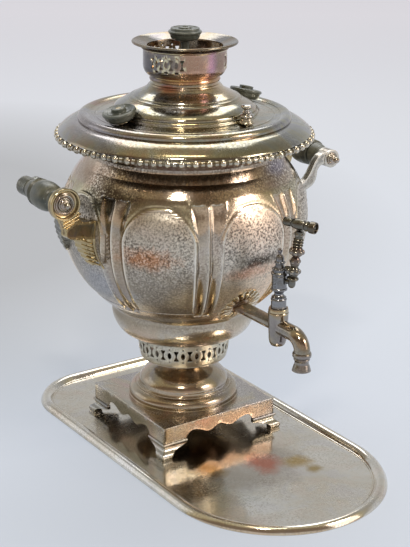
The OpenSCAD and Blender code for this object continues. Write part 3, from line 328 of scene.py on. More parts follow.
urn_stains_and_painted_light = colour_patches(
    ((-0.108, -0.088, 0.249), (0.042, 0.042, 0.016), "#c98c60", 0.9, 110),
    ((0.005, -0.139, 0.241), (0.036, 0.03, 0.011), "#3d3228", 0.92, 70),
    ((0, -0.139, 0.228), (0.045, 0.03, 0.011), "#cf9a7c", 0.75, 30),
    # the two pale patches on the panel beside the tap are painted reflected light
    ((0, -0.13, 0.283), (0.07, 0.05, 0.04), "#f4dcc8", 0.85, 20),
    ((0.04, -0.13, 0.2), (0.07, 0.05, 0.04), "#f2dac0", 0.9, 16),
    ((-0.1, -0.09, 0.2), (0.11, 0.11, 0.05), "#8b8070", 0.82, 14),
    ((0, 0, 0.153), (0.4, 0.4, 0.016), "#a79b88", 0.8, 14),
    ((-0.13, -0.02, 0.2), (0.05, 0.06, 0.05), "#a9abb2", 0.8, 12),
    # this tan-brown band round the top of the shoulder is partly tarnish and partly painted shade
    # under the brim
    ((0, 0, 0.3265), (0.45, 0.45, 0.024), "#a9917b", 0.88, 26),
    # this dark patch on the left shoulder is a painted reflection of something dark
    ((-0.12, -0.04, 0.308), (0.042, 0.047, 0.014), "#43332a", 0.93, 24),
    ((0.06, -0.1, 0.33), (0.03, 0.03, 0.01), "#8c8aa4", 0.6, 24))
lid_stains_and_painted_shade = colour_patches(
    ((-0.11, 0, 0.375), (0.06, 0.1, 0.02), "#a29a9c", 0.8, 14),
    ((-0.02, -0.135, 0.362), (0.09, 0.03, 0.012), "#7f7d6c", 0.7, 24),
    ((-0.036, -0.02, 0.411), (0.022, 0.022, 0.008), "#a2604a", 0.8, 60),
    # this dark brown band round the brim's collar and lower edge is painted shade under the brim
    ((0, 0, 0.343), (0.3, 0.3, 0.02), "#5d4332", 0.95, 20),
    ((0.02, -0.04, 0.408), (0.04, 0.04, 0.012), "#d8bf9c", 0.7, 30))
urn_plate = plated("plated_urn", "#e6dccd", "#c6b39f", "#a08d78", worn="#fbf3e4", speck=0.85,
                   rough=(0.13, 0.26), tint=urn_stains_and_painted_light, relief=True)
silver_plate = plated("plated_fittings", "#d8cfbd", "#b0a288", "#9a855c", speck=0.4,
                      rough=(0.16, 0.32))
lid_plate = plated("plated_lid", "#aaa598", "#8d8575", "#a08a62", speck=0.3, rough=(0.06, 0.17),
                   film=0.45, dents=0.1, pits=0.08, tint=lid_stains_and_painted_shade)
pedestal_plate = plated("plated_pedestal", "#bcad9c", "#a08e7c", "#957f64", speck=0.25,
                        rough=(0.1, 0.22), dents=0.1, pits=0.08)
gallery_plate = plated("pale_gilt", "#dbd5c4", "#b9af98", "#6b6047", speck=0.3, rough=(0.28, 0.42),
                       worn="#eee8d4", film=0.15)
gilt_plate = plated("worn_gilt", "#c4b595", "#8d7c5c", "#6d5a3c", speck=0.35, rough=(0.2, 0.36),
                    worn="#ead9b4")
foot_plate = plated("bright_plate", "#c9c6c2", "#8b8783", "#857b6c", speck=0.3, rough=(0.12, 0.26))
key_plate = plated("dull_nickel", "#8f8f93", "#626165", "#3a3734", speck=0.5, rough=(0.12, 0.28),
                   worn="#97989b", film=0.12)
print("finishes so far", len(bpy.data.materials))

# %% [markdown]
# ## Turning on a lathe
# Most of a samovar is spun or turned, so most pieces are a section that goes round an axis. A
# section is a list of knots, each a radius and a height in millimetres. A smooth curve joins them,
# and a third value, 1, marks a corner, where one run of the curve ends and the next starts. Sheet
# pieces get their thickness by moving the line sideways. Each corner is then eased by a fraction
# of a millimetre, since a real edge always catches light.

# %% Helpers for sections
def smooth(knots, steps=6):
    knots = [Vector(k) for k in knots]
    if len(knots) < 3:
        return knots
    out = []
    for i in range(len(knots) - 1):
        a, b = knots[max(i - 1, 0)], knots[i]
        c, d = knots[i + 1], knots[min(i + 2, len(knots) - 1)]
        for j in range(steps):
            t = j / steps
            out.append(0.5 * (2 * b + (c - a) * t + (2 * a - 5 * b + 4 * c - d) * t * t
                              + (3 * b - a - 3 * c + d) * t ** 3))
    return out + [knots[-1]]


def runs(*knots, steps=6):
    out, run = [], []
    for i, knot in enumerate(knots):
        run.append(knot[:2])
        if len(knot) > 2 or i == len(knots) - 1:
            for point in smooth(run, steps):
                if not out or (point - out[-1]).length > 0.02:
                    out.append(point)
            run = [knot[:2]]
    return out


def beside(line, gap):
    out = []
    for i, point in enumerate(line):
        first = (line[max(i, 1)] - line[max(i - 1, 0)]).normalized()
        second = (line[min(i + 1, len(line) - 1)] - line[min(i, len(line) - 2)]).normalized()
        n1, n2 = Vector((-first.y, first.x)), Vector((-second.y, second.x))
        middle = (n1 + n2).normalized()
        out.append(point + middle * gap / max(0.6, middle.dot(n1)))
    return out


def shell(line, thick=1.2):
    return line + beside(line, thick)[::-1]


def eased(loop, radius):
    least = math.radians(24)
    out = []
    for i, c in enumerate(loop):
        a, b = loop[i - 1] - c, loop[(i + 1) % len(loop)] - c
        if a.length < 1e-6 or b.length < 1e-6 or (-a).angle(b) < least or c.x < 0.01:
            out.append(c)
            continue
        cut = min(radius, 0.45 * a.length, 0.45 * b.length)
        start, end = c + a.normalized() * cut, c + b.normalized() * cut
        out += [start.lerp(c, t).lerp(c.lerp(end, t), t) for t in (0, 0.33, 0.67, 1)]
    return out


print("a run of three knots gives", len(smooth([(0, 0), (1, 1), (2, 0)])), "points")

# %% Helpers for meshes
def piece(name, vertices, faces, finish, body, replaced=(), auto=32):
    mesh = bpy.data.meshes.new(name)
    mesh.from_pydata([tuple(v) for v in vertices], [], faces)
    bm = bmesh.new()
    bm.from_mesh(mesh)
    bmesh.ops.remove_doubles(bm, verts=bm.verts, dist=1e-6)
    bmesh.ops.recalc_face_normals(bm, faces=bm.faces)
    bm.to_mesh(mesh)
    bm.free()
    return settle(name, mesh, finish, body, replaced, auto)


def settle(name, mesh, finish, body, replaced=(), auto=32):
    mesh.materials.clear()
    mesh.materials.append(finish)
    mesh.shade_smooth()
    mesh.set_sharp_from_angle(angle=math.radians(auto))
    made = bpy.data.objects.new(name, mesh)
    scene.collection.objects.link(made)
    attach(made, body)
    if replaced:
        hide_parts(*replaced)
    return made


def lathe(loop, centre, axis, around):
    """Vertices and faces of a section in millimetres, turned about +Z or another axis."""
    turn = Vector((0, 0, 1)).rotation_difference(Vector(axis or (0, 0, 1))).to_matrix()
    base = Vector(centre)
    vertices, rings = [], []
    for point in loop:
        if point.x < 0.005:
            rings.append([len(vertices)] * around)
            vertices.append(base + turn @ Vector((0, 0, point.y)) * MM)
        else:
            rings.append(list(range(len(vertices), len(vertices) + around)))
            for k in range(around):
                a = 2 * math.pi * k / around
                vertices.append(base + turn @ Vector((point.x * math.sin(a),
                                                      -point.x * math.cos(a), point.y)) * MM)
    faces = []
    for i, low in enumerate(rings):
        high = rings[(i + 1) % len(loop)]
        for k in range(around):
            n = (k + 1) % around
            corner = [low[k], low[n], high[n], high[k]]
            corner = [c for j, c in enumerate(corner) if c not in corner[:j]]
            if len(corner) > 2:
                faces.append(corner)
    return vertices, faces


def turned(name, loop, finish, body, replaced=(), centre=(0, 0, 0), axis=None, around=160,
           ease=0.3):
    loop = [Vector(p) for p in loop]
    vertices, faces = lathe(eased(loop, ease), centre, axis, around)
    made = piece(name, vertices, faces, finish, body, replaced)
    print(name, len(made.data.polygons), "faces")
    return made


def cast(node, finish, body, width=0.4, angle=28, name=None, net=3.0):
    """A copy of a solid with its sharp edges worn round, and no edge far longer than the net.

    The finish reads how sharply the surface bends from point to point, so that a large flat face
    needs points of its own between its edges, or all of it takes the edges' colour.
    """
    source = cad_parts[node]
    mesh = source.data.copy()
    mesh.transform(source.matrix_world)
    bm = bmesh.new()
    bm.from_mesh(mesh)
    bmesh.ops.remove_doubles(bm, verts=bm.verts, dist=2e-6)
    bmesh.ops.dissolve_limit(bm, angle_limit=math.radians(0.6), verts=bm.verts, edges=bm.edges)
    bm.to_mesh(mesh)
    bm.free()
    rough = bpy.data.objects.new("rough_" + node, mesh)
    scene.collection.objects.link(rough)
    bevel = rough.modifiers.new("worn_edges", "BEVEL")
    bevel.width, bevel.segments = width * MM, 2
    bevel.limit_method, bevel.angle_limit = "ANGLE", math.radians(angle)
    bevel.miter_outer = "MITER_ARC"
    done = bpy.data.meshes.new_from_object(rough.evaluated_get(
        bpy.context.evaluated_depsgraph_get()))
    bpy.data.objects.remove(rough)
    bm = bmesh.new()
    bm.from_mesh(done)
    bmesh.ops.triangulate(bm, faces=bm.faces)
    for _ in range(5):
        wide = [e for e in bm.edges if e.calc_length() > net * MM]
        if not wide:
            break
        bmesh.ops.subdivide_edges(bm, edges=wide, cuts=1)
        bmesh.ops.triangulate(bm, faces=[f for f in bm.faces if len(f.verts) > 3])
    bm.to_mesh(done)
    bm.free()
    made = settle(name or node + "_cast", done, finish, body, (node,))
    print(node, len(done.polygons), "faces")
    return made


print("nodes", len(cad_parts))

# %% [markdown]
# ## Tray
# The tray was pressed from one sheet: a flat well, and a rim rolled up to a half round and down to
# the table. It could be one swept curve, but a loft is plainer: the outline is walked once, and at
# each step the rim's section is set square to it, so the rim keeps its width round both kinds of
# corner. The well is filled from the innermost line, as one flat face.

# %% Tray
tray_half, front, back, corner = 127.0, 178.0, 106.0, 77.0


def bend(x, y, radius, start, end, steps):
    return [(x + radius * math.cos(start + (end - start) * k / steps),
             y + radius * math.sin(start + (end - start) * k / steps)) for k in range(steps + 1)]


def straight(p, q, steps):
    return [(p[0] + (q[0] - p[0]) * k / steps, p[1] + (q[1] - p[1]) * k / steps)
            for k in range(1, steps)]


def outline(inset):
    wide, turn = tray_half - inset, corner - inset
    nose = bend(0, -front, wide, math.pi, 2 * math.pi, 64)
    right_corner = bend(50, back, turn, 0, math.pi / 2, 28)
    left_corner = bend(-50, back, turn, math.pi / 2, math.pi, 28)
    return (nose + straight(nose[-1], right_corner[0], 30) + right_corner
            + straight(right_corner[-1], left_corner[0], 10) + left_corner
            + straight(left_corner[-1], nose[0], 30))


rim_line = runs(
    (17.4, 1.2), (16.4, 1.2, 1), (16, 1.9), (15.3, 2.2, 1), (14.9, 1.9, 1), (13.2, 4.2),
    (10.4, 6.6), (7, 7.4), (3.8, 6.3), (1.4, 3.4), (0.3, 1.2), (0, 0.3, 1), (0.4, 0), (1.2, 0, 1),
    (2, 1.9), (4.6, 5), (7.2, 6), (10, 5.4), (13.2, 2.4), (15.2, 0.4), (17.4, 0), steps=4)
rings = [outline(p.x) for p in rim_line]
count = len(rings[0])
vertices = [(x * MM, y * MM, p.y * MM) for p, ring in zip(rim_line, rings) for x, y in ring]
faces = [(i * count + k, i * count + (k + 1) % count, (i + 1) * count + (k + 1) % count,
          (i + 1) * count + k) for i in range(len(rings) - 1) for k in range(count)]
faces += [tuple(range(count)), tuple(reversed(range((len(rings) - 1) * count,
                                                    len(rings) * count)))]


tray_stains = colour_patches(
    ((-0.055, -0.12, 0), (0.07, 0.1, 1), "#a9aea4", 0.7, 14),
    ((0, -0.137, 0), (0.066, 0.066, 1), "#7c634b", 0.9, 6),
    ((0.002, -0.14, 0), (0.057, 0.057, 1), "#bdb7ab", 0.9, 6),
    ((0.01, -0.15, 0), (0.026, 0.03, 1), "#b86a52", 0.9, 22),
    ((0.046, -0.166, 0), (0.022, 0.018, 1), "#b2924a", 0.85, 40),
    ((0.05, -0.19, 0), (0.012, 0.011, 1), "#a58a48", 0.85, 50),
    ((-0.05, -0.125, 0), (0.022, 0.03, 1), "#8a6c34", 0.85, 30),
    ((-0.03, -0.085, 0), (0.06, 0.03, 1), "#6a4c36", 0.85, 14))
tray_plate = plated("plated_tray", "#f0ebe2", "#d0c6b6", "#b59c66", worn="#f6f2ea", cloud=9.0,
                    speck=0.3, rough=(0.05, 0.17), tint=tray_stains, dents=0.12, film=0.2,
                    pits=0.06)
tray = piece("pressed_tray", vertices, faces, tray_plate, "tray", ("tray",), 40)
print("tray", len(tray.data.polygons), "faces,", [round(d, 3) for d in tray.dimensions])

# %% [markdown]
# ## Plinth and feet
# The plinth is folded sheet with a sawn apron, and the feet are castings. Their outlines are
# already true in the part, and flat sheet has nothing else to show but its edges, so both are
# copies of the part's solids whose sharp edges are worn round by a bevel.

# %% Plinth and feet
plinth_stains = colour_patches(
    ((0.02, -0.078, 0.028), (0.07, 0.012, 0.016), "#b89a82", 0.75, 30),
    ((-0.078, 0, 0.027), (0.012, 0.07, 0.014), "#7f7964", 0.9, 25))
plinth_plate = plated("plated_plinth", "#c9c0b6", "#a1978d", "#83735f", speck=0.14, worn="#dccdb8",
                      rough=(0.14, 0.28), tint=plinth_stains, dents=0.12, pits=0.08)
cast("plinth", plinth_plate, "urn", 0.5, name="plinth_box", net=6.0)
for corner_name in ("front_left", "front_right", "back_left", "back_right"):
    cast("foot_" + corner_name, foot_plate, "urn", 0.6,
         name="bracket_foot_" + corner_name)

# %% [markdown]
# ## Pedestal, bowl and brim
# All three were spun over a former from sheet. The section of each is drawn from the foot up, with
# the fine steps and lines that the spinner's tool left between the large curves.

# %% Pedestal
pedestal_foot, bowl_foot, lid_seat = 37.9, 119.4, 372.7
pedestal_line = runs(
    (65.5, 0), (65.5, 1.8, 1), (64.6, 2.6), (64, 2.4, 1), (64.2, 3.6), (64.8, 5.2), (64.3, 7.6),
    (62.8, 10.2), (60.4, 12.3), (57.6, 13.6, 1), (56.9, 13.2), (56.4, 13.5, 1), (56.2, 14.6),
    (55.2, 15.2), (54, 14.9, 1), (53.6, 15.6), (53, 15.5, 1), (52.6, 17.2), (52.1, 20.6),
    (49.6, 25), (45.2, 29.4), (40.1, 33.2), (35, 36.4), (31.2, 39.8), (29.2, 42.8),
    (28.8, 44.6, 1), (29.6, 45.2), (30.4, 46.6), (33.4, 48.3), (38.5, 49), (45, 50.1, 1),
    (51, 50.1))
turned("spun_pedestal", shell(pedestal_line), pedestal_plate, "urn", ("pedestal",),
       centre=(0, 0, pedestal_foot * MM), around=192)
cast("lower_gallery", gallery_plate, "urn", 0.28, name="pierced_gallery")

# %% Bowl
bowl_line = runs(
    (47, 0), (58, 0, 1), (58.6, 0.9), (59.4, 0.8, 1), (64.5, 0.95), (70.5, 3.2), (77, 8.7),
    (82, 17.8), (84, 26.6), (83.6, 32.2), (83.4, 34.8))
turned("spun_bowl", shell(bowl_line), urn_plate, "urn", ("bowl",),
       centre=(0, 0, bowl_foot * MM), around=224)
brim_line = runs(
    (142, -13.8), (141, -11.9), (138.4, -9.2), (135, -6.6), (131.2, -4.2), (126.2, -1.7),
    (121.6, -0.5), (118, 0, 1), (112, 0, 1), (109.8, -0.3), (108.8, -1.4), (108.8, -6),
    (108.8, -33.5))
turned("spun_brim", shell(brim_line), lid_plate, "urn", ("brim",),
       centre=(0, 0, lid_seat * MM), around=256)
# %% [markdown]
# ## The fluted body
# The body was spun to a plain pear, and its arched panels and flutes were chased in from outside.
# Subdivision modelling would need a separate cage for each panel, but the shape follows a rule:
# a radius for each height, and for each angle a depth that depends on how far it is from the
# nearest panel's arch and from the nearest flute. So the wall is a fine grid set by that rule,
# and the same rule marks what is panel, groove and ridge, for the plate's colours; the ridges'
# bright colour is partly wear and partly a painted highlight.

# %% Body rule
body_foot, body_tall = 154.2, 185.0
body_knots = [(84, 0), (86, 4.07), (93, 9.99), (104, 19.98), (117, 34.97), (127, 51.06), (134, 67),
              (138.5, 83.1), (140.5, 99), (140.5, 115.1), (138, 131), (133, 143.9), (127.2, 155),
              (120.6, 164.5), (113.6, 173.5), (110.5, 180), (110, 185)]
body_line = smooth(body_knots, 12)
body_heights = np.array([p.y for p in body_line])
body_radii = np.array([p.x for p in body_line])
arch_low, arch_top, panel_foot, flute_top = 109.2, 147.5, 21.8, 153.0
panel_half, flute_half, flute_run, arch_lean, wall_thick = 16.3, 22.5, 13.0, 3.4, 1.8


def step(x, low, high):
    t = np.clip((x - low) / (high - low), 0, 1)
    return t * t * (3 - 2 * t)


def body_relief(angle, z):
    """Depth below the plain pear in millimetres, then masks: panel, groove, edge, ground."""
    away = np.abs((angle + flute_half) % (2 * flute_half) - flute_half)
    round_mm = np.pi / 180 * np.interp(z, body_heights, body_radii)
    # millimetres inside the arched panel's edge, less than nothing outside it
    span = panel_half * round_mm
    high = np.clip(z - arch_low, 0, None) / (arch_top - arch_low)
    oval = np.sqrt((away / panel_half) ** 2 + high ** 2)
    inside = np.where(z < arch_low, (panel_half - away) * round_mm, (1 - oval) * span * 1.02)
    inside = np.minimum(inside, z - panel_foot)
    panel = step(inside, -0.4, 0.4)
    # the flute leans towards the arch near its top, which is round
    lean = arch_lean * np.clip((z - arch_low) / (flute_top - arch_low), 0, 1) ** 1.5
    inner = np.maximum(panel_half - lean + 0.35, 0)
    u = np.clip((away - inner) / (flute_half - inner), 0, 1)
    over = np.clip((z - (flute_top - flute_run)) / flute_run, 0, 1)
    under = np.clip((panel_foot + 2.0 - z) / 7.0, 0, 1)
    end = np.sqrt(np.clip(1 - over ** 2, 0, 1)) * np.sqrt(np.clip(1 - under ** 2, 0, 1))
    hollow = np.clip(1 - (np.abs(2 * u - 1) / (0.7 + 0.3 * end)) ** 2.4, 0, 1)
    hollow *= end * (away > inner)
    # a fine bead runs along the panel's edge and another between the two flutes
    bead = np.exp(-(inside / 0.9) ** 2) * step(z, panel_foot + 1, panel_foot + 5)
    rib = np.exp(-((flute_half - away) * round_mm / 0.8) ** 2) * step(z, 12, 20) \
        * (1 - step(z, flute_top - 4, flute_top))
    channel = np.exp(-((inside + 2.6) / 1.3) ** 2) * step(z, arch_low, arch_low + 14) \
        * (away < inner + 1.5)
    ground = (1 - panel) * (z > arch_low - 6) * (away < inner) * (1 - step(z, 152, 158))
    pillow = 1.3 * step(inside, 0.2, 11) - 0.9
    low_step = 1.2 * (1 - step(z, panel_foot - 6.5, panel_foot - 4.5)) * step(z, 9, 12)
    depth = panel * pillow + 0.55 * bead + 0.45 * rib - 3.3 * hollow - 0.8 * channel \
        - 0.5 * ground + 0.4 * low_step
    depth *= step(z, 4, 12) * (1 - step(z, 158, 166))
    # the bright colour of the bead and rib ridges is partly wear and partly a painted highlight
    edge = np.clip(bead + rib * (hollow < 0.6), 0, 1) * step(z, 18, 24)
    return depth, panel * step(inside, 0.4, 3.0), np.clip(hollow + channel * 0.8, 0, 1), edge, \
        np.clip(ground + step(z, 147, 152) * (1 - step(z, 155, 161)), 0, 1)


bends = np.array([0, 2.5, 5, 7.5, 9.5, 11, 12, 12.8, 13.5, 14.1, 14.6, 15.0, 15.35, 15.65, 15.9,
                  16.1, 16.3, 16.5, 16.7, 16.95, 17.3, 17.8, 18.4, 19.0, 19.6, 20.2, 20.8, 21.3,
                  21.7, 22.0, 22.25, 22.4])
turns = np.concatenate([[45 * k + x for x in bends] + [45 * k + 22.5]
                        + [45 * (k + 1) - x for x in bends[:0:-1]] for k in range(8)])
turns = np.unique(np.round(turns, 4))
levels = np.unique(np.round(np.concatenate([
    np.linspace(0, body_tall, 68), np.linspace(8, 30, 28), np.linspace(106, 164, 70)]), 3))
grid_a, grid_z = np.meshgrid(turns, levels)
depth, *masks = body_relief(grid_a, grid_z)
radius = np.interp(grid_z, body_heights, body_radii) + depth
inner_levels = np.append(levels[:0:-8], 0.0)
grid_b, grid_y = np.meshgrid(turns, inner_levels)
inner_depth, *_ = body_relief(grid_b, grid_y)
inner = np.interp(grid_y, body_heights, body_radii) + np.minimum(inner_depth, 0) - wall_thick
all_a = np.radians(np.vstack([grid_a, grid_b]))
all_r = np.vstack([radius, inner])
all_z = np.vstack([grid_z, grid_y]) + body_foot
points = np.stack([all_r * np.sin(all_a), -all_r * np.cos(all_a), all_z], -1).reshape(-1, 3) * MM
rows, columns = all_a.shape
faces = [(i * columns + k, i * columns + (k + 1) % columns,
          ((i + 1) % rows) * columns + (k + 1) % columns, ((i + 1) % rows) * columns + k)
         for i in range(rows) for k in range(columns)]
print("body grid", rows, "by", columns)

# %% Body mesh
body_mesh = bpy.data.meshes.new("fluted_urn")
body_mesh.from_pydata(points.tolist(), [], faces)
for mark_name, mask in zip(("panel", "hollow", "edge", "ground"), masks):
    mark = body_mesh.attributes.new(mark_name, "FLOAT", "POINT")
    mark.data.foreach_set("value", np.vstack([mask, inner * 0]).ravel().astype(np.float32))
urn_wall = settle("fluted_urn", body_mesh, urn_plate, "urn", ("body_shell",), 60)
print("body", len(body_mesh.polygons), "faces,", [round(d, 4) for d in urn_wall.dimensions])


# %% [markdown]
# ## Bead border
# A drawn strip of beads and reels was soldered round the brim's edge. Sixty-two of each would be
# tedious by hand, so a Geometry Nodes tree sets one bead and one reel on the points of two circles
# and turns each to face outward. The same tree, with other numbers, makes the small bead rings on
# the tap's key and the knots of its branch.

# %% Bead tree
beads_tree = bpy.data.node_groups.new("ring_of_beads", "GeometryNodeTree")
beads_tree.is_modifier = True
face = beads_tree.interface
for label, kind, start in (("Ring radius", "NodeSocketFloat", 0.1), ("Count", "NodeSocketInt", 8),
                           ("Bead width", "NodeSocketFloat", 0.004),
                           ("Bead height", "NodeSocketFloat", 0.004),
                           ("Reel width", "NodeSocketFloat", 0.0),
                           ("Reel height", "NodeSocketFloat", 0.0),
                           ("Metal", "NodeSocketMaterial", None)):
    socket = face.new_socket(label, in_out="INPUT", socket_type=kind)
    if start is not None:
        socket.default_value = start
face.new_socket("Geometry", in_out="OUTPUT", socket_type="NodeSocketGeometry")
given = add(beads_tree, "NodeGroupInput").outputs
ball = add(beads_tree, "GeometryNodeMeshUVSphere", {"Segments": 14, "Rings": 9, "Radius": 0.5})
disc = add(beads_tree, "GeometryNodeMeshCylinder", {"Vertices": 14, "Radius": 0.5, "Depth": 0.2})
flat = add(beads_tree, "GeometryNodeTransform",
           {"Geometry": disc.outputs["Mesh"], "Rotation": (0.0, math.pi / 2, 0.0)})
row = add(beads_tree, "GeometryNodeMeshLine", {"Count": 3, "Start Location": (-0.33, 0, 0),
                                               "Offset": (0.33, 0, 0)})
reel = add(beads_tree, "GeometryNodeInstanceOnPoints", {"Points": row, "Instance": flat})
place = add(beads_tree, "GeometryNodeInputIndex")


def set_round(instance, wide, tall, offset):
    ring = add(beads_tree, "GeometryNodeMeshCircle", {"Vertices": given["Count"],
                                                      "Radius": given["Ring radius"]})
    part = add(beads_tree, "ShaderNodeMath", {0: place, 1: offset}, operation="ADD")
    angle = add(beads_tree, "ShaderNodeMath", {0: part, 1: 2 * math.pi}, operation="MULTIPLY")
    angle = add(beads_tree, "ShaderNodeMath", {0: angle, 1: given["Count"]}, operation="DIVIDE")
    turn = add(beads_tree, "ShaderNodeCombineXYZ", {"Z": angle})
    x = add(beads_tree, "ShaderNodeMath", {0: angle}, operation="SINE")
    y = add(beads_tree, "ShaderNodeMath", {0: angle}, operation="COSINE")
    spot = add(beads_tree, "ShaderNodeCombineXYZ", {"X": x, "Y": add(
        beads_tree, "ShaderNodeMath", {0: y, 1: -1.0}, operation="MULTIPLY")})
    spot = add(beads_tree, "ShaderNodeVectorMath", {0: spot, "Scale": given["Ring radius"]},
               operation="SCALE")
    moved = add(beads_tree, "GeometryNodeSetPosition", {"Geometry": ring, "Position": spot})
    size = add(beads_tree, "ShaderNodeCombineXYZ", {"X": wide, "Y": tall, "Z": tall})
    return add(beads_tree, "GeometryNodeInstanceOnPoints",
               {"Points": moved, "Instance": instance, "Rotation": turn, "Scale": size})


beads = set_round(ball.outputs["Mesh"], given["Bead width"], given["Bead height"], 0.0)
reels = set_round(reel, given["Reel width"], given["Reel height"], 0.5)
both = beads_tree.nodes.new("GeometryNodeJoinGeometry")
for one in (reels, beads):
    beads_tree.links.new(one.outputs[0], both.inputs[0])
real = add(beads_tree, "GeometryNodeRealizeInstances", {"Geometry": both})
dressed = add(beads_tree, "GeometryNodeSetMaterial", {"Geometry": real,
                                                      "Material": given["Metal"]})
add(beads_tree, "NodeGroupOutput", {"Geometry": dressed})


def grown(name, tree, finish, body, slot, replaced, move, **values):
    """Runs a tree on an empty mesh and keeps the result as a plain mesh."""
    seed = bpy.data.objects.new("seed_" + name, bpy.data.meshes.new("seed_" + name))
    scene.collection.objects.link(seed)
    work = seed.modifiers.new("tree", "NODES")
    work.node_group = tree
    for item in tree.interface.items_tree:
        key = item.name.lower().replace(" ", "_")
        if item.item_type == "SOCKET" and item.in_out == "INPUT":
            if key in values:
                work[item.identifier] = values[key]
            elif key == "metal":
                work[item.identifier] = finish
    mesh = bpy.data.meshes.new_from_object(seed.evaluated_get(
        bpy.context.evaluated_depsgraph_get()))
    seed.modifiers.clear()
    bpy.data.objects.remove(seed)
    mesh.transform(move)
    made = settle(name, mesh, finish, body, replaced, 40)
    print(name, len(mesh.polygons), "faces")
    return made


bead_plate = plated("plated_beads", "#d6cebc", "#8f8674", "#3c352a", speck=0.2,
                    rough=(0.05, 0.14), film=0.12, dents=0.0)
bead_level = 354.9
grown("bead_border", beads_tree, bead_plate, "urn", "plated", ("brim_beads",),
      Matrix.Translation((0, 0, bead_level * MM)), ring_radius=142.3 * MM, count=62,
      bead_width=7.2 * MM, bead_height=8.0 * MM, reel_width=3.4 * MM, reel_height=5.8 * MM)
# a dark ring behind the beads: painted shade in the gaps between them
bead_gap_shade = plated("tarnish_between_beads", "#4a4339", "#2f2a24", "#221e1a", speck=0.3)
turned("bead_border_core", [(140.6, -1.6), (143.6, -1.6), (144.2, 0), (143.6, 1.6), (142.2, 3.0),
                            (140.6, 3.0)], bead_gap_shade, "urn",
       centre=(0, 0, bead_level * MM), around=256)

# %% [markdown]
# ## Lid
# The lid is one spun shell of steps and curves, with a skirt that drops into the mouth. The knots
# between two corners are one curve that the spinner worked, and each corner is a crisp line.

# %% Lid
lid_line = runs(
    (119.5, 0), (119.5, 1.2, 1), (119.2, 3.2), (117.4, 5.6), (114.2, 6.9), (110.6, 6.6),
    (107.6, 5.4, 1), (106.8, 4.7), (103.6, 4.2), (100.4, 4.3, 1), (99.6, 4.9), (98.6, 4.7, 1),
    (94, 4.9), (88.5, 5.6), (83, 6.2, 1), (82.3, 6.9), (81.9, 8.8), (80.9, 10, 1), (80.2, 9.7),
    (79.7, 10, 1), (79.4, 12.6), (77.2, 15.4), (73.6, 17.8), (69, 20.2), (64.4, 22.2, 1),
    (63.6, 22), (63, 22.4, 1), (62.4, 24.2), (60.4, 25.4), (58.6, 25.6, 1), (58, 25.9),
    (57.4, 26.8, 1), (53, 28.9), (48, 31.2), (43.6, 34), (41, 37, 1), (40.2, 37.1),
    (39.6, 37.8, 1), (39.2, 39), (38.4, 39.3, 1), (37.8, 40), (37.6, 42.5))
skirt = [(107.2, -8.0), (108.4, -8.0), (108.4, 5.2), (107.2, 5.2)]
turned("spun_lid", shell(lid_line), lid_plate, "lid", ("lid",),
       centre=(0, 0, lid_seat * MM), around=160)
turned("lid_skirt", skirt, lid_plate, "lid", centre=(0, 0, lid_seat * MM), around=192)
# the knobs and the vent stand on one circle of the lid
knob_circle, knob_rise = 88.5, 5.95


def lid_place(degrees):
    a = math.radians(degrees)
    return Vector((knob_circle * math.sin(a), -knob_circle * math.cos(a),
                   lid_seat + knob_rise)) * MM


def lean_out(degrees, lean):
    a, b = math.radians(degrees), math.radians(lean)
    return Vector((math.sin(a) * math.sin(b), -math.cos(a) * math.sin(b), math.cos(b)))


print("lid done")

# %% [markdown]
# ## Lid knobs and steam vent
# The knobs are turned wood under old green-black lacquer, dished so that fingers find the rim. The
# vent is a small casting that lets steam out under a loose finial.

# %% Lacquered wood
def lacquered(name, dark, light, rough=(0.28, 0.5)):
    material, tree = blank(name)
    place = add(tree, "ShaderNodeTexCoord").outputs["Object"]
    worn = add(tree, "ShaderNodeTexNoise", {"Vector": place, "Scale": 70.0, "Detail": 6.0,
                                            "Roughness": 0.7})
    mask = shades(add(tree, "ShaderNodeValToRGB", {"Fac": worn}), (0.38, 0.0), (0.7, 1.0))
    base = add(tree, "ShaderNodeMix", {"Factor": mask, 6: dark, 7: light},
               data_type="RGBA").outputs[2]
    bend = add(tree, "ShaderNodeNewGeometry").outputs["Pointiness"]
    edge = shades(add(tree, "ShaderNodeValToRGB", {"Fac": bend}), (0.51, 0.0), (0.58, 0.75))
    base = add(tree, "ShaderNodeMix", {"Factor": edge, 6: base, 7: "#8f938a"},
               data_type="RGBA").outputs[2]
    gloss = add(tree, "ShaderNodeMapRange",
                {"Value": worn, "To Min": rough[0], "To Max": rough[1]})
    grain = add(tree, "ShaderNodeTexNoise", {"Vector": place, "Scale": 500.0,
                                             "Detail": 2.0})
    skin = add(tree, "ShaderNodeBump", {"Height": grain, "Strength": 0.15, "Distance": 0.0004})
    wood = add(tree, "ShaderNodeBsdfPrincipled", {"Base Color": base, "Roughness": gloss,
                                                  "Normal": skin})
    wood.inputs["Coat Weight"].default_value = 0.35
    wood.inputs["Coat Roughness"].default_value = 0.3
    add(tree, "ShaderNodeOutputMaterial", {"Surface": wood})
    return material


lacquer = lacquered("lacquered_wood", "#3d423a", "#6a695a")
lid_lacquer = lacquered("worn_lacquer", "#3f453e", "#6b6e64", (0.16, 0.34))
print("lacquer", lacquer.name, lid_lacquer.name)

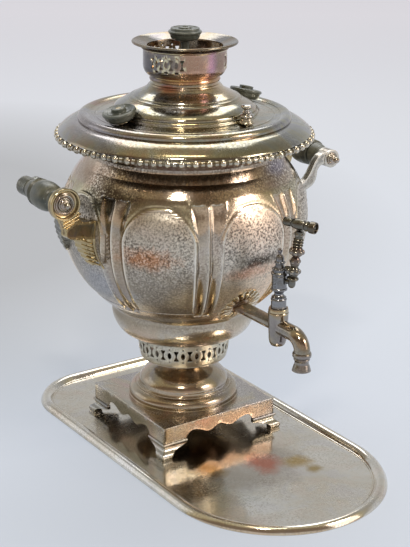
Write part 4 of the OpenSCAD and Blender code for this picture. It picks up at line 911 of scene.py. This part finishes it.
# %% Knobs and posts
knob_loop = runs(
    (3.05, 3.6), (12.8, 3.6, 1), (14.6, 4.6), (16.4, 7), (17, 9.4, 1), (17.4, 10.6),
    (18.2, 11, 1), (18.7, 12.4), (18.2, 14), (16.6, 14.6, 1), (15.4, 14), (13.4, 13.2, 1),
    (12.9, 13.7), (12.2, 13.4, 1), (10.2, 12.9), (8.8, 13, 1), (8.2, 14), (8, 16.2, 1), (8.2, 17),
    (7.6, 17.8), (6.6, 17.8, 1), (6, 17.2), (4.4, 17.2), (3.05, 17.2))
for side_name, degrees in (("left", -84), ("right", 96)):
    turned("lid_knob_" + side_name + "_turned", knob_loop, lid_lacquer, "lid",
           ("lid_knob_" + side_name,), lid_place(degrees), lean_out(degrees, 14), 96, 0.25)
cast("lid_knob_posts", gilt_plate, "lid", 0.25, name="knob_posts")
turned("vent_seat", [(1.4, -4), (3, -4), (3, 0.9), (8.6, 0.9), (8.8, 1.5), (8.4, 2.2), (7.6, 2.6),
                     (7.5, 3.6), (6.4, 4.4), (6.0, 6), (1.4, 6)], silver_plate, "lid",
       ("steam_vent_seat",), lid_place(15), around=64, ease=0.25)
vent_loop = runs(
    (0, 3.4), (1.1, 3.4, 1), (1.1, 6.4, 1), (6.4, 6.4, 1), (8, 7.8), (7.6, 9.8), (5.2, 11.2, 1),
    (4.2, 11.8, 1), (5.1, 12.4), (5.1, 13), (3.8, 13.6, 1), (3.2, 14.4), (3.5, 15.8), (5.3, 17.2),
    (6.3, 18.4), (6, 19.8), (4.2, 20.8), (2, 21.2), (0, 21.4), steps=5)
vent_plate = plated("plated_vent", "#e2dcd6", "#a8a09c", "#3a322c", speck=0.15,
                    rough=(0.04, 0.1), dents=0.0)
turned("vent_finial", vent_loop, vent_plate, "vent_cap", ("steam_vent_cap",),
       lid_place(15), around=64, ease=0.2)

# %% [markdown]
# ## Crown
# The crown carries the teapot over the hot chimney. Its wall is pierced in three panels, which are
# true in the part, so the wall is a worn copy, and the saucer above is spun with a rolled lip.

# %% Crown
crown_stains_and_painted_highlight = colour_patches(
    ((0, 0, 0.419), (0.2, 0.2, 0.01), "#d8b080", 0.85, 20),
    ((-0.04, 0.004, 0.435), (0.026, 0.05, 0.04), "#63626a", 0.9, 20),
    ((-0.014, -0.045, 0.436), (0.022, 0.022, 0.04), "#c79a80", 0.8, 20),
    ((0.03, -0.035, 0.436), (0.03, 0.03, 0.04), "#a5877a", 0.8, 20),
    # this small pink-purple patch is a painted highlight
    ((0.004, -0.048, 0.438), (0.009, 0.014, 0.03), "#c796b0", 0.7, 40))
crown_plate = plated("plated_crown", "#d8c2ab", "#a58c7b", "#7d6548", speck=0.2, worn="#efe3bd",
                     rough=(0.08, 0.2), tint=crown_stains_and_painted_highlight, dents=0.12, pits=0.08)
cast("crown_wall", crown_plate, "crown", 0.25, name="pierced_crown")
crown_foot = 415.2
saucer_loop = runs(
    (46.7, 37.2), (49.4, 38.4), (53.4, 40.2), (56.8, 41.4, 1), (56.8, 40.2, 1), (58.2, 40.6),
    (58.8, 41.8), (58.2, 43), (57, 43.3, 1), (55.4, 42.4), (51, 40.8), (46.4, 39.2), (43.2, 38.2),
    (42.1, 37.8, 1), (42.1, 37.2))
saucer_plate = plated("plated_saucer", "#7f736a", "#5a4e47", "#5f4a34", speck=0.2,
                      rough=(0.1, 0.22), worn="#c9bcab", dents=0.12)
turned("crown_saucer_spun", saucer_loop, saucer_plate, "crown", ("crown_saucer",),
       (0, 0, crown_foot * MM), around=192, ease=0.25)

# %% [markdown]
# ## Chimney, grate and cap
# Inside is the fire tube, black with soot, with the grate at its foot. The cap closes the
# chimney, and its lacquered knob stands above the saucer.

# %% Sooty iron
soot, tree = blank("sooty_iron")
place = add(tree, "ShaderNodeTexCoord").outputs["Object"]
ash = add(tree, "ShaderNodeTexNoise", {"Vector": place, "Scale": 45.0, "Detail": 8.0,
                                       "Roughness": 0.7})
tone = shades(add(tree, "ShaderNodeValToRGB", {"Fac": ash}),
              (0.3, "#2c2926"), (0.55, "#4a4039"), (0.8, "#6d5a48"))
gloss = add(tree, "ShaderNodeMapRange", {"Value": ash, "To Min": 0.45, "To Max": 0.75})
crust = add(tree, "ShaderNodeBump", {"Height": ash, "Strength": 0.4, "Distance": 0.001})
iron = add(tree, "ShaderNodeBsdfPrincipled", {"Base Color": tone, "Roughness": gloss,
                                              "Normal": crust})
iron.inputs["Metallic"].default_value = 0.85
add(tree, "ShaderNodeOutputMaterial", {"Surface": iron})
# pieces that stay as the part has them, under the finishes of their neighbours
for node, finish in (("fire_tube", soot), ("grate", soot), ("chimney_cap", soot),
                     ("grip_rods", soot), ("tap_backnut", gilt_plate), ("tap_key", key_plate)):
    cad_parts[node].data.materials.clear()
    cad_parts[node].data.materials.append(finish)
cap_loop = runs(
    (0, 430.8), (7, 430.8, 1), (6.5, 432.4), (5, 433.8), (4.6, 444), (4.6, 454.6), (5.4, 457.6),
    (9.2, 458.4, 1), (12.6, 458.8), (15.6, 461), (16.8, 464.2, 1), (17, 465.2), (17.9, 465.8, 1),
    (18.5, 466.8), (18.5, 468.2), (17.6, 469), (16.2, 469.3, 1), (16.1, 470.9), (15.4, 472),
    (13.2, 472.1, 1), (12.2, 471.4), (7.6, 471.4, 1), (7, 472.6), (5.4, 473.2), (3.2, 473.2, 1),
    (2.6, 474.2), (0, 474.2))
turned("chimney_cap_knob_turned", cap_loop, lid_lacquer, "chimney_cap",
       ("chimney_cap_knob",), around=96, ease=0.25)
# %% [markdown]
# ## Handles
# Two brackets carry each grip. They were cast: a plain arm on one side of the grip and an arm with
# a dished head on the other, each on a ribbed pad. The part's solids have the outlines, so the
# brackets are worn copies, and the turned rings of the dish, which are finer, are set in them.

# %% Bracket metal
copper_dish = colour_patches(
    ((-0.171, -0.043, 0.312), (0.008, 0.008, 0.013), "#b5714a", 0.7, 90),
    ((0.171, 0.043, 0.312), (0.008, 0.008, 0.013), "#b5714a", 0.7, 90))
gold_cast = plated("cast_brown_arm", "#9d8d70", "#65573f", "#2a2219", worn="#c6b388", speck=0.3,
                   rough=(0.08, 0.2), tint=copper_dish, dents=0.3, film=0.25)
grey_cast = plated("cast_grey_arm", "#b5b2ab", "#8a867f", "#4a453d", worn="#d6d2c8", speck=0.35,
                   rough=(0.2, 0.36), dents=0.4, film=0.15)
# the back left arm is the same casting as the others, painted darker to stand in for a dark
# reflection
arm_painted_dark = plated("cast_dark_arm", "#74756f", "#4a4b45", "#33332e", worn="#a9aaa2", speck=0.3,
                  rough=(0.2, 0.34), dents=0.3, film=0.15)
for name, finish in (("bracket_left_front", gold_cast), ("bracket_left_back", arm_painted_dark),
                     ("bracket_right_front", grey_cast), ("bracket_right_back", gold_cast)):
    cast(name, finish, "urn", 0.5, 30, name.replace("bracket", "arm"))

# %% Ribs on the pads and bands on the arms
def rods(name, lines, radius, finish):
    """Round bars along lines of points in millimetres, as one mesh."""
    data = bpy.data.curves.new(name, "CURVE")
    data.dimensions = "3D"
    data.bevel_depth, data.bevel_resolution, data.use_fill_caps = radius * MM, 3, True
    for line in lines:
        spline = data.splines.new("POLY")
        spline.points.add(len(line) - 1)
        for point, spot in zip(spline.points, line):
            point.co = (*(Vector(spot) * MM), 1)
    holder = bpy.data.objects.new("line_" + name, data)
    scene.collection.objects.link(holder)
    mesh = bpy.data.meshes.new_from_object(holder.evaluated_get(
        bpy.context.evaluated_depsgraph_get()))
    bpy.data.objects.remove(holder)
    print(name, len(mesh.polygons), "faces")
    return settle(name, mesh, finish, "urn", (), 50)


pad_thick, pad_low, pad_tall = 11.0, 229.2, 36.7


def pad_spot(sx, y, z, proud):
    wall = float(np.interp(z - body_foot, body_heights, body_radii))
    swell = math.sin(math.pi / 2 * min((z - pad_low) / pad_tall, 1))
    rise = pad_thick * (0.22 + 0.7 * swell) + proud
    return sx * math.sqrt((wall + rise) ** 2 - y * y), y * sx, z


for sx, side_name in ((-1, "left"), (1, "right")):
    ribs = [[pad_spot(sx, y, z, 0.9) for y in (25, 31, 37, 42.5)] for z in range(235, 261, 5)]
    rods("pad_ribs_" + side_name, ribs, 1.25, gold_cast)
    rods("pad_rim_" + side_name, [[pad_spot(sx, 44.6, 231 + 4 * i, 0.6) for i in range(10)]], 1.2,
         gold_cast)
    bands = [[(sx * (171 + 11 * t), sx * (42.5 + 2.7 * t), z - 2.6 * t) for t in (1, 0, -1)]
             for z in (287.0, 290.6, 294.2)]
    rods("arm_bands_" + side_name, bands, 1.2, gold_cast)

# %% Rings in the dishes, and finials on the rods' ends
grip_reach, grip_level, head_face, dish_floor = 178.0, 309.2, 46.0, 41.5
ring_loop = runs(
    (7.9, -0.4), (12.2, -0.4, 1), (12, 0.4), (11, 0.9, 1), (10.9, 1.9), (10, 2.6), (9.1, 2.3),
    (8.8, 1.3, 1), (8.2, 1.2), (7.9, -0.4), steps=4)
finial_loop = runs(
    (0, -2), (2.95, -2, 1), (2.95, 0, 1), (7.4, 0, 1), (7.5, 0.9), (7, 1.6, 1), (6, 1.9),
    (5.8, 3.2, 1), (4.8, 4.1), (3.4, 4.5), (2.7, 5.2, 1), (2.6, 6.2), (3.3, 7), (3.8, 8.2),
    (3.4, 9.9), (2, 11.4), (0.9, 12), (0, 12))
for sx, side_name in ((-1, "left"), (1, "right")):
    for sy, end_name in ((-1, "front"), (1, "back")):
        dished = sx * sy > 0
        seat = dish_floor if dished else head_face
        spot = Vector((sx * grip_reach, sy * (seat + 0.05), grip_level)) * MM
        if dished:
            turned(f"dish_ring_{side_name}", ring_loop[:-1], foot_plate, "urn", (), spot,
                   (0, sy, 0), 96, 0.2)
        turned(f"finial_{side_name}_{end_name}", finial_loop, foot_plate, "urn",
               ("grip_finials",) if (sx, sy) == (-1, -1) else (), spot, (0, sy, 0), 64, 0.2)

# %% Grips
# from the plain bracket's end, -29.9, to the neck behind the dish, 37.9
fine_rings = [knot for k in range(6) for knot in (
    (15.3 + 0.05 * k, -12.2 + 1.1 * k, 1), (14.8 + 0.05 * k, -11.65 + 1.1 * k),
    (15.3 + 0.05 * k, -11.1 + 1.1 * k, 1))]
grip_loop = runs(
    (3.1, -29.9), (9.9, -29.9, 1), (10.5, -28.6), (10.4, -27, 1), (11.2, -25), (12.6, -20),
    (13.4, -16, 1), (13.2, -15.4), (11.6, -15, 1), (11.6, -13.6, 1), (14.4, -13.2),
    (15.3, -12.2, 1), *fine_rings, (15.9, -2), (16.1, 1, 1), (16.15, 5), (15.6, 10), (14.6, 14.6),
    (13, 17.6, 1), (11.6, 18.6), (10.6, 19.6, 1), (9.9, 20.6), (10.3, 21.4, 1), (11, 23.4),
    (10.9, 26), (10.2, 28, 1), (10, 29), (10.6, 29.6, 1), (10.9, 33), (10.8, 37.9, 1),
    (3.1, 37.9))
for sx, side_name in ((-1, "left"), (1, "right")):
    turned("grip_" + side_name + "_turned", grip_loop, lacquer, "urn",
           ("grip_" + side_name,), Vector((sx * grip_reach, 0, grip_level)) * MM, (0, sx, 0), 128,
           0.25)

# %% [markdown]
# ## Tap
# The tap is a brass casting turned on a lathe and plated thin, so it is browner and shinier than
# the urn. Its bored body is a worn copy of the part's solid. The collar, the key's crown and the
# crossbar are turned, and the small beads round the key come from the same tree as the border.

# %% Tap body and rosette
tap_brass = plated("plated_tap", "#a89c90", "#71665b", "#3a322b", worn="#d2c6b2", cloud=26.0,
                   speck=0.25, rough=(0.06, 0.16), dents=0.2)
cast("tap_body", tap_brass, "urn", 0.35, 26, "tap_casting")
rosette_plate = plated("plated_rosette", "#c9b68c", "#a08a60", "#7d6138", worn="#fffaea",
                       speck=0.2, rough=(0.12, 0.24), film=0.12, relief=True)
ribs, round_steps, hub, fan, fan_level = 18, 360, 9.9, 24.0, 27.0
rosette_rows, rosette_marks = [], []
for share, lift in ((0, -0.8), (0, 1.0), *((t, 1.0) for t in np.linspace(0.06, 1, 11)), (1, -0.8)):
    for k in range(round_steps):
        a = 2 * math.pi * k / round_steps
        ridge = abs(math.cos(ribs * a / 2)) ** 3.5
        rho = hub + (fan - 1.5 * ridge - hub) * share
        swell = (0.6 + 2.0 * ridge) * math.sin(math.pi * min(share * 0.8 + 0.1, 1)) \
            + 1.1 * math.exp(-((share - 0.96) / 0.06) ** 2) if lift > 0 else 0
        # the ribs and the rim are marked for the near-white worn colour: partly wear, partly a
        # painted highlight on the ribs
        rosette_marks.append(max(ridge, math.exp(-((share - 0.98) / 0.05) ** 2)))
        x, z = rho * math.sin(a), fan_level + rho * math.cos(a)
        wall = float(np.interp(z, body_heights, body_radii)) + 0.2
        rosette_rows.append(Vector((x, -math.sqrt(wall * wall - x * x) - lift - swell,
                                    z + body_foot)) * MM)
layers = len(rosette_rows) // round_steps
rosette_mesh = bpy.data.meshes.new("scalloped_rosette")
rosette_mesh.from_pydata(rosette_rows, [], [
    (i * round_steps + k, i * round_steps + (k + 1) % round_steps,
     (i + 1) % layers * round_steps + (k + 1) % round_steps, (i + 1) % layers * round_steps + k)
    for i in range(layers) for k in range(round_steps)])
bm = bmesh.new()
bm.from_mesh(rosette_mesh)
bmesh.ops.recalc_face_normals(bm, faces=bm.faces)
bm.to_mesh(rosette_mesh)
bm.free()
marks = np.array(rosette_marks, dtype=np.float32)
rosette_mesh.attributes.new("edge", "FLOAT", "POINT").data.foreach_set("value", marks)
rosette_mesh.attributes.new("hollow", "FLOAT", "POINT").data.foreach_set("value", 1 - marks)
settle("scalloped_rosette", rosette_mesh, rosette_plate, "urn", ("tap_rosette",), 50)
print("rosette", layers * round_steps, "faces")
tap_axis = Vector((0, -180.5, 181.2)) * MM
collar_loop = runs(
    (9.9, 14.4), (10.9, 14.4, 1), (11.2, 15.2), (10.9, 16, 1), (10.2, 16.4, 1), (10.7, 17.2),
    (10.6, 19.2), (10.2, 20.4), (9.9, 20.8))
turned("tap_collar", collar_loop, gilt_plate, "urn", (), tap_axis, around=96, ease=0.2)

# %% Key
key_loop = runs(
    (0, 6), (7.3, 6, 1), (7.38, 21.4, 1), (8.4, 21.4, 1), (8.6, 22.2), (8.3, 23.2, 1), (8, 26.8),
    (8.2, 30, 1), (8.6, 30.8), (8.2, 31.6, 1), (7.6, 32.4), (7.9, 33.2, 1), (6.2, 34.4),
    (4.9, 36.4), (5.7, 38.8), (7.8, 40.8, 1), (8.8, 41.4), (8.7, 42.8, 1), (8.1, 43.8), (8, 50),
    (8.2, 57, 1), (8.8, 58.2), (8.8, 60.2), (7.8, 61, 1), (7.2, 61.6), (7, 63.2, 1), (5.4, 65.4),
    (4.3, 68.4), (4.5, 75), (3.7, 78.4), (1.9, 80, 1), (1.6, 81.6, 1), (2.5, 83.2), (2.3, 85.4),
    (1, 86.6), (0, 86.8))
turned("key_turned", key_loop, key_plate, "key", (), tap_axis, around=96, ease=0.2)
for name, level, ring, number, size in (("key_beads_low", 64.0, 6.5, 14, 2.9),
                                        ("key_beads_high", 71.4, 4.5, 11, 2.5)):
    grown(name, beads_tree, key_plate, "key", "steel", (), Matrix.Translation(
        tap_axis + Vector((0, 0, level)) * MM), ring_radius=ring * MM, count=number,
          bead_width=size * MM, bead_height=size * MM, reel_width=0.4 * MM, reel_height=0.4 * MM)

# %% Branch and crossbar
dark_cast = plated("blackened_casting", "#6f6c68", "#3e3c39", "#201e1c", worn="#b3aea4", speck=0.2,
                   rough=(0.08, 0.22), dents=0.5, film=0.15)
turn = math.radians(22)
out = Vector((math.sin(turn), -math.cos(turn), 0))
foot, head = (tap_axis + (out * r + Vector((0, 0, z))) * MM for r, z in ((14.6, 46.0),
                                                                        (22.8, 111.0)))
lean = (head - foot).normalized()
chain = runs(
    (0, 0), (2, 0.6), (3.1, 3.4), (2.9, 8.4, 1), (4.6, 9.6), (5, 11.4), (3.2, 13, 1), (4.2, 15.4),
    (4.9, 19), (4, 22.6), (2.6, 24.4, 1), (3.6, 26), (4.2, 29.6), (3.6, 33.6), (2.4, 35.4, 1),
    (4.4, 37.6), (5.4, 41.6), (4.4, 45.6), (2.9, 47.2, 1), (4.6, 48.4), (3.4, 50.2, 1),
    (4.7, 51.6), (3.4, 53.4, 1), (4.4, 54.8), (3.2, 56.6, 1), (3.6, 60), (3.4, 64, 1), (0, 65),
    steps=5)
chain = [(p.x * 1.25, p.y) for p in chain]
turned("branch_stem", chain, dark_cast, "key", ("tap_branch",), foot, lean, 40, 0.3)
for name, r, z, size in (("low", 10.6, 52.0, 2.6), ("high", 10.9, 66.0, 3.2)):
    link = runs((0, -4.6), (size * 0.8, -4.2), (size, 0), (size * 0.8, 4.2), (0, 4.6))
    turned("branch_link_" + name, link, dark_cast, "key", (),
           tap_axis + (out * r + Vector((0, 0, z))) * MM, out, 32, 0.2)
facing = Vector((0, 0, 1)).rotation_difference(lean).to_matrix().to_4x4()
for name, along, ring, number, size in (("low", 18.8, 4.8, 6, 5.0), ("mid", 30.0, 3.8, 5, 4.2),
                                        ("high", 41.2, 5.4, 7, 5.2), ("top", 60.4, 3.6, 5, 3.8)):
    grown("branch_knot_" + name, beads_tree, dark_cast, "key", "steel", (),
          Matrix.Translation(foot + lean * along * MM) @ facing, ring_radius=ring * MM,
          count=number, bead_width=size * MM, bead_height=size * 1.25 * MM, reel_width=0.4 * MM,
          reel_height=0.4 * MM)
bar_loop = runs(
    (0, -19.6), (2.6, -19.4), (4.4, -17.8), (4.9, -14), (4.5, -10.6, 1), (3.7, -9.6),
    (4.5, -8.6, 1), (5.5, -5), (5.9, 0), (5.2, 4.6, 1), (4.1, 5.8), (5, 6.8, 1), (5.6, 8.4),
    (5, 10.2, 1), (4.3, 11.2, 1), (6, 12.2), (6.4, 15), (6.2, 18), (5.4, 18.9, 1), (4.7, 18.6),
    (4.3, 16.6, 1), (1.8, 16.2), (1.6, 17.6), (0, 17.8))
turned("crossbar_turned", bar_loop, dark_cast, "key", ("tap_crossbar",),
       tap_axis + (out * 22.6 + Vector((0, 0, 116.6))) * MM, out + Vector((0, 0, -0.05)), 64, 0.2)
